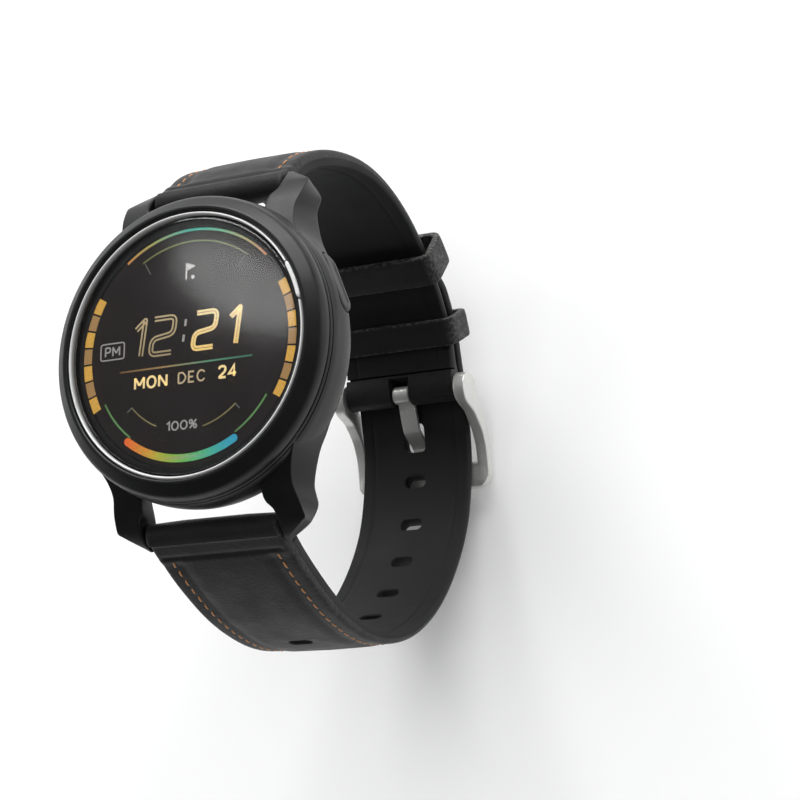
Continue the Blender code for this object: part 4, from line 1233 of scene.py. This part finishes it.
def ribbon(work, points, width, shift=0.0):
    """Adds a thin flat line of even width along points; shift moves it sideways."""
    path = [Vector(p) for p in points]
    sides = ([], [])
    for i, point in enumerate(path):
        before = (path[i] - path[i - 1]).normalized() if i else (path[1] - path[0]).normalized()
        after = (path[i + 1] - path[i]).normalized() if i < len(path) - 1 else before
        tangent = (before + after).normalized()
        side = Vector((-tangent.y, tangent.x)) / max(0.5, tangent.dot(after))
        for line, reach in zip(sides, (shift + width / 2, shift - width / 2)):
            spot = point + side * reach
            line.append([work.verts.new(Vector((*spot, height)) * MM) for height in (INK_LOW, INK_HIGH)])
    left, right = sides
    for i in range(len(path) - 1):
        for a, b in (((left, 0), (left, 1)), ((left, 1), (right, 1)), ((right, 1), (right, 0)),
                     ((right, 0), (left, 0))):
            work.faces.new((a[0][i][a[1]], a[0][i + 1][a[1]], b[0][i + 1][b[1]], b[0][i][b[1]]))
    for i in (0, -1):
        work.faces.new((left[i][0], left[i][1], right[i][1], right[i][0]))


def stroke(name, lines, width, colour, paint, shifts=(0.0,)):
    """Lit lines as one mark: each line once for each sideways shift."""
    work = bmesh.new()
    for line in lines:
        for shift in shifts:
            ribbon(work, line, width, shift)
    inked(mesh_from(name, work), colour, paint)


def digit_points(digit, left, width):
    right = left + width
    middle = (DIGIT_LOW + DIGIT_HIGH) / 2
    shapes = {"1": [(left, DIGIT_HIGH - 1.25), (right, DIGIT_HIGH), (right, DIGIT_LOW)],
              "2": [(left, DIGIT_HIGH), (right, DIGIT_HIGH), (right, middle + 0.15), (left, middle - 0.35),
                    (left, DIGIT_LOW), (right, DIGIT_LOW)]}
    return [(x + DIGIT_SLANT * (y - DIGIT_LOW), y) for x, y in shapes[digit]]


def time_marks(paint):
    for index, (digit, left, width, bright) in enumerate(TIME):
        points = softened(digit_points(digit, left, width), 0.9 if digit == "2" else 0.05)
        stops = BRIGHT_DIGITS if bright else DIM_DIGITS
        line, shift = (0.34, 0.21) if bright else (0.26, 0.27)
        stroke(f"time_digit_{index + 1}", [points], line,
               lambda co, stops=stops: blend_stops(stops, (4.6 - co.y) / 5.2), paint, (-shift, shift))
    for index, (y, x) in enumerate(((0.75, -0.85), (3.0, -0.55))):
        stroke(f"colon_{index + 1}", [[(x, y), (x + 0.13, y + 1.0)]], 0.36, COLON_INK, paint)


def oval(left, low, right, high, count=20):
    """A closed loop in a glyph's unit box."""
    turns = [polar(0.5, math.tau * i / count) for i in range(count + 1)]
    return [((left + right) / 2 + (right - left) * b, (low + high) / 2 + (high - low) * a) for a, b in turns]


# Each glyph is a set of lines in a unit box. Those not listed in GLYPH_WIDTHS take one share of a word's width.
GLYPHS = {
    "M": [[(0, 0), (0, 1)], [(0, 1), (0.5, 0.3)], [(0.5, 0.3), (1, 1)], [(1, 1), (1, 0)]],
    "O": [oval(0, 0, 1, 1)],
    "N": [[(0, 0), (0, 1)], [(0, 1), (1, 0)], [(1, 0), (1, 1)]],
    "D": [softened([(0, 0), (0, 1), (0.6, 1), (1, 0.65), (1, 0.35), (0.6, 0), (0, 0)], 0.2)],
    "E": [[(0.95, 1), (0, 1), (0, 0), (0.95, 0)], [(0, 0.5), (0.8, 0.5)]],
    "C": [softened([(1, 0.8), (0.75, 1), (0.3, 1), (0, 0.7), (0, 0.3), (0.3, 0), (0.75, 0), (1, 0.2)], 0.25)],
    "P": [[(0, 0), (0, 1)], softened([(0, 1), (0.75, 1), (1, 0.9), (1, 0.58), (0.75, 0.46), (0, 0.46)], 0.2)],
    "0": [oval(0, 0, 1, 1)],
    "1": [[(0, 0.78), (1, 1), (1, 0)]],
    "2": [softened([(0, 0.78), (0.2, 1), (0.8, 1), (1, 0.75), (0.85, 0.5), (0, 0), (1, 0)], 0.22)],
    "4": [[(0.72, 0), (0.72, 1), (0, 0.28), (1, 0.28)]],
    "%": [[(0.05, 0), (0.95, 1)], oval(0, 0.55, 0.4, 1), oval(0.6, 0, 1, 0.45)],
}
GLYPH_WIDTHS = {"M": 1.2, "O": 1.1, "1": 0.4, "%": 1.1, "E": 0.75, "P": 0.85}


def word_mark(name, letters, left, right, low, high, gap, width, colour, paint):
    """Generic display text drawn in strokes and fitted to a box."""
    shares = [GLYPH_WIDTHS.get(letter, 1.0) for letter in letters]
    unit = (right - left - gap * (len(letters) - 1)) / sum(shares)
    lines = []
    at = left
    for letter, share in zip(letters, shares):
        for line in GLYPHS[letter]:
            lines.append([(at + x * unit * share, low + y * (high - low)) for x, y in line])
        at += unit * share + gap
    stroke(name, lines, width, colour, paint)


def frame_mark(name, left, low, right, high, width, colour, paint):
    outer = rounded_box(left, low, right, high, 0.45)
    inner = rounded_box(left + width, low + width, right - width, high - width, 0.3)
    rings = [[(a, b, INK_LOW), (c, d, INK_LOW), (c, d, INK_HIGH), (a, b, INK_HIGH)]
             for (a, b), (c, d) in zip(outer, inner)]
    inked(loft(name, rings, loop=True), colour, paint)


def flag_icon(paint):
    """A small generic flag on a stick beside a ball, where the screen has room for a mark."""
    stroke("flag_stick", [[(-0.55, 9.9), (-0.55, 12.3)]], 0.2, PALE_INK, paint)
    flat_mark("flag_pennant", [(-0.4, 12.3), (1.0, 11.75), (-0.4, 11.2)], PALE_INK, paint)
    flat_mark("flag_ball", arc((0.55, 10.15), 0.28, 0, 345, 23), PALE_INK, paint)


def screen(panel, ink):
    outline = filleted([(0.0, PANEL_BOTTOM), (PANEL_R, PANEL_BOTTOM), (PANEL_R, PANEL_TOP), (0.0, PANEL_TOP)],
                       [0.0, 0.05, 0.05, 0.0], 2)
    finished(turned("screen_panel", outline, 160), panel, "case", "display", "display_panel")
    block_marks(ink)
    for values in ARCS:
        arc_mark(*values, ink)
    for index, (angle, inner, outer) in enumerate(TICKS):
        ends = [polar(radius, math.radians(angle)) for radius in (inner, outer)]
        stroke(f"tick_{index + 1}", [ends], 0.16, TICK_INK, ink)
    time_marks(ink)
    stroke("divider", [[(-11.4 + 0.5 * i, -2.6) for i in range(45)]], 0.24,
           lambda co: blend_stops(DIVIDER, (co.x + 11.4) / 22.3), ink)
    for values in WORDS:
        word_mark(*values, ink)
    frame_mark("half_day_frame", -14.9, -0.6, -10.7, 2.0, 0.18, GREY_INK, ink)
    flag_icon(ink)


# CAD nodes that stay

def repaint(paint, *nodes):
    for name in nodes:
        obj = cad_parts[name]
        obj.data.materials.clear()
        obj.data.materials.append(paint.material)


def paint_inner_parts():
    repaint(moulded("gasket_rubber", (0.012, 0.012, 0.012), 0.7, 0.15), "lens_gasket", "back_cover_seal",
            "button_seal")
    repaint(moulded("carrier_plastic", (0.02, 0.02, 0.022)), "display_carrier", "button_switch", "processor",
            "memory_chip")
    repaint(moulded("flex_film", (0.45, 0.2, 0.03), 0.35, 0.3), "display_flex")
    repaint(board_paint("board_mask"), "main_board")
    repaint(moulded("can_metal", (0.32, 0.32, 0.33), 0.3, 0.25, 1.0), "shield_can", "vibration_motor")
    repaint(moulded("antenna_ceramic", (0.68, 0.62, 0.5), 0.45, 0.3), "gps_antenna")
    repaint(moulded("battery_foil", (0.55, 0.55, 0.57), 0.28, 1.2, 1.0), "battery")
    bars = [f"spring_bar_{end}{part}" for end in ("top", "bottom") for part in ("", "_tip", "_spring")]
    repaint(blasted_silver("bar_steel", (0.6, 0.6, 0.6), 0.28), "button_clip", *bars)


# Stage

def set_camera():
    right = Vector(CAMERA_RIGHT).normalized()
    back = Vector(CAMERA_BACK).normalized()
    up = back.cross(right).normalized()
    right = up.cross(back)
    camera = bpy.data.cameras.new("camera")
    camera.lens = CAMERA_LENS
    camera.sensor_width = 36.0
    camera.clip_start = 0.01
    holder = bpy.data.objects.new("camera", camera)
    turn = Matrix((right, up, back)).transposed().to_4x4()
    holder.matrix_world = Matrix.Translation(Vector(CAMERA_PLACE) * MM) @ turn
    bpy.context.scene.collection.objects.link(holder)
    bpy.context.scene.camera = holder


def area_light(name, place, target, size, radiance, shape):
    """A soft lamp with a given brightness of its face, so that its size can change on its own."""
    data = bpy.data.lights.new(name, "AREA")
    data.shape = shape
    data.size, data.size_y = size
    area = size[0] * size[1] * (math.pi / 4 if shape == "ELLIPSE" else 1.0)
    data.energy = radiance * math.pi * area
    obj = bpy.data.objects.new(name, data)
    spot = Vector(place)
    turn = (Vector(target) - spot).to_track_quat("-Z", "Y").to_matrix().to_4x4()
    obj.matrix_world = Matrix.Translation(spot) @ turn
    bpy.context.scene.collection.objects.link(obj)
    return obj


def set_stage():
    work = bmesh.new()
    corners = [(-FLOOR_REACH, -FLOOR_REACH), (FLOOR_REACH, -FLOOR_REACH), (FLOOR_REACH, FLOOR_REACH),
               (-FLOOR_REACH, FLOOR_REACH)]
    work.faces.new([work.verts.new((x, y, CAD_BOUNDS[0][2] - FLOOR_DROP)) for x, y in corners])
    floor = mesh_from("floor", work)
    paint = Paint("floor_paint", (0.9, 0.9, 0.9), 0.7)
    paint.tint(paint.ranged(paint.noise(40.0, 2.0), 0.3, 0.7, 0.0, 0.3), (0.88, 0.88, 0.88))
    paint.set("Emission Color", (1.0, 1.0, 1.0, 1.0))
    paint.set("Emission Strength", 0.12)
    floor.data.materials.append(paint.material)
    for values in LAMPS:
        lamp = area_light(*values)
        lamp.visible_glossy = lamp.name != "floor_lamp"
    world = bpy.data.worlds.new("soft_room")
    world.use_nodes = True
    background = world.node_tree.nodes["Background"]
    background.inputs["Color"].default_value = (0.95, 0.97, 1.0, 1.0)
    background.inputs["Strength"].default_value = 0.09
    bpy.context.scene.world = world
    bpy.context.scene.view_settings.view_transform = "Standard"


def build_case():
    black = satin_black("case_satin_black")
    dark = blasted_silver("dark_steel_paint", (0.22, 0.22, 0.23), 0.32)
    bezel_paint = satin_black("bezel_satin_black", specular=0.42)
    case_body(black)
    finished(turned("bezel_ring", filleted(*BEZEL_SHAPE, 7)), bezel_paint, "case", "case_black", "bezel")
    trim_pieces(polished_steel("trim_steel"))
    glass = turned("cover_glass", filleted(*GLASS_SHAPE, 5))
    finished(glass, clear_glass("cover_glass_clear"), "case", "glass_black", "glass_lens")
    back_plate(satin_black("cover_satin", (0.016, 0.016, 0.017), 0.5), dark,
               blasted_silver("contact_gold", (0.83, 0.58, 0.22), 0.25))
    button_piece(black)
    screen(panel_paint("screen_ground"), ink_paint("screen_ink"))
    return dark


def build_band(dark):
    leather = grained_leather("black_leather", (0.0105, 0.0105, 0.011), (0.16, 0.15, 0.14), 0.6)
    # The keepers' paler colour paints their edge highlight and bend highlights as well as their wear.
    keeper_leather = grained_leather("keeper_leather", (0.013, 0.013, 0.013), (0.14, 0.135, 0.13), 0.8)
    lining = smooth_lining("lining_rubber")
    thread = thread_paint("orange_thread")
    silver = blasted_silver("buckle_silver", (0.8, 0.8, 0.77), 0.4, 0.7)
    short = Route(short_path(), False)
    long = Route(long_path(), True)
    for name, route in (("short", short), ("long", long)):
        strap_leather(f"strap_{name}_outer", route, leather, f"strap_{name}_leather")
        strap_lining(f"strap_{name}_inner", route, lining, f"strap_{name}_lining")
    stitching("stitching_short", short, 3.2, short.total - 9.0, thread)
    stitching("stitching_long", long, 4.3, 84.0, thread)
    keeper_loop("keeper_fixed_loop", short, FIXED_KEEPER, keeper_leather, "band", "keeper_fixed")
    keeper_loop("keeper_free_loop", short, FREE_KEEPER, keeper_leather, "loose_keeper", "keeper_free")
    buckle_piece(silver, dark)
    tongue_piece(silver)


set_camera()
set_stage()
dark_steel = build_case()
paint_inner_parts()
build_band(dark_steel)
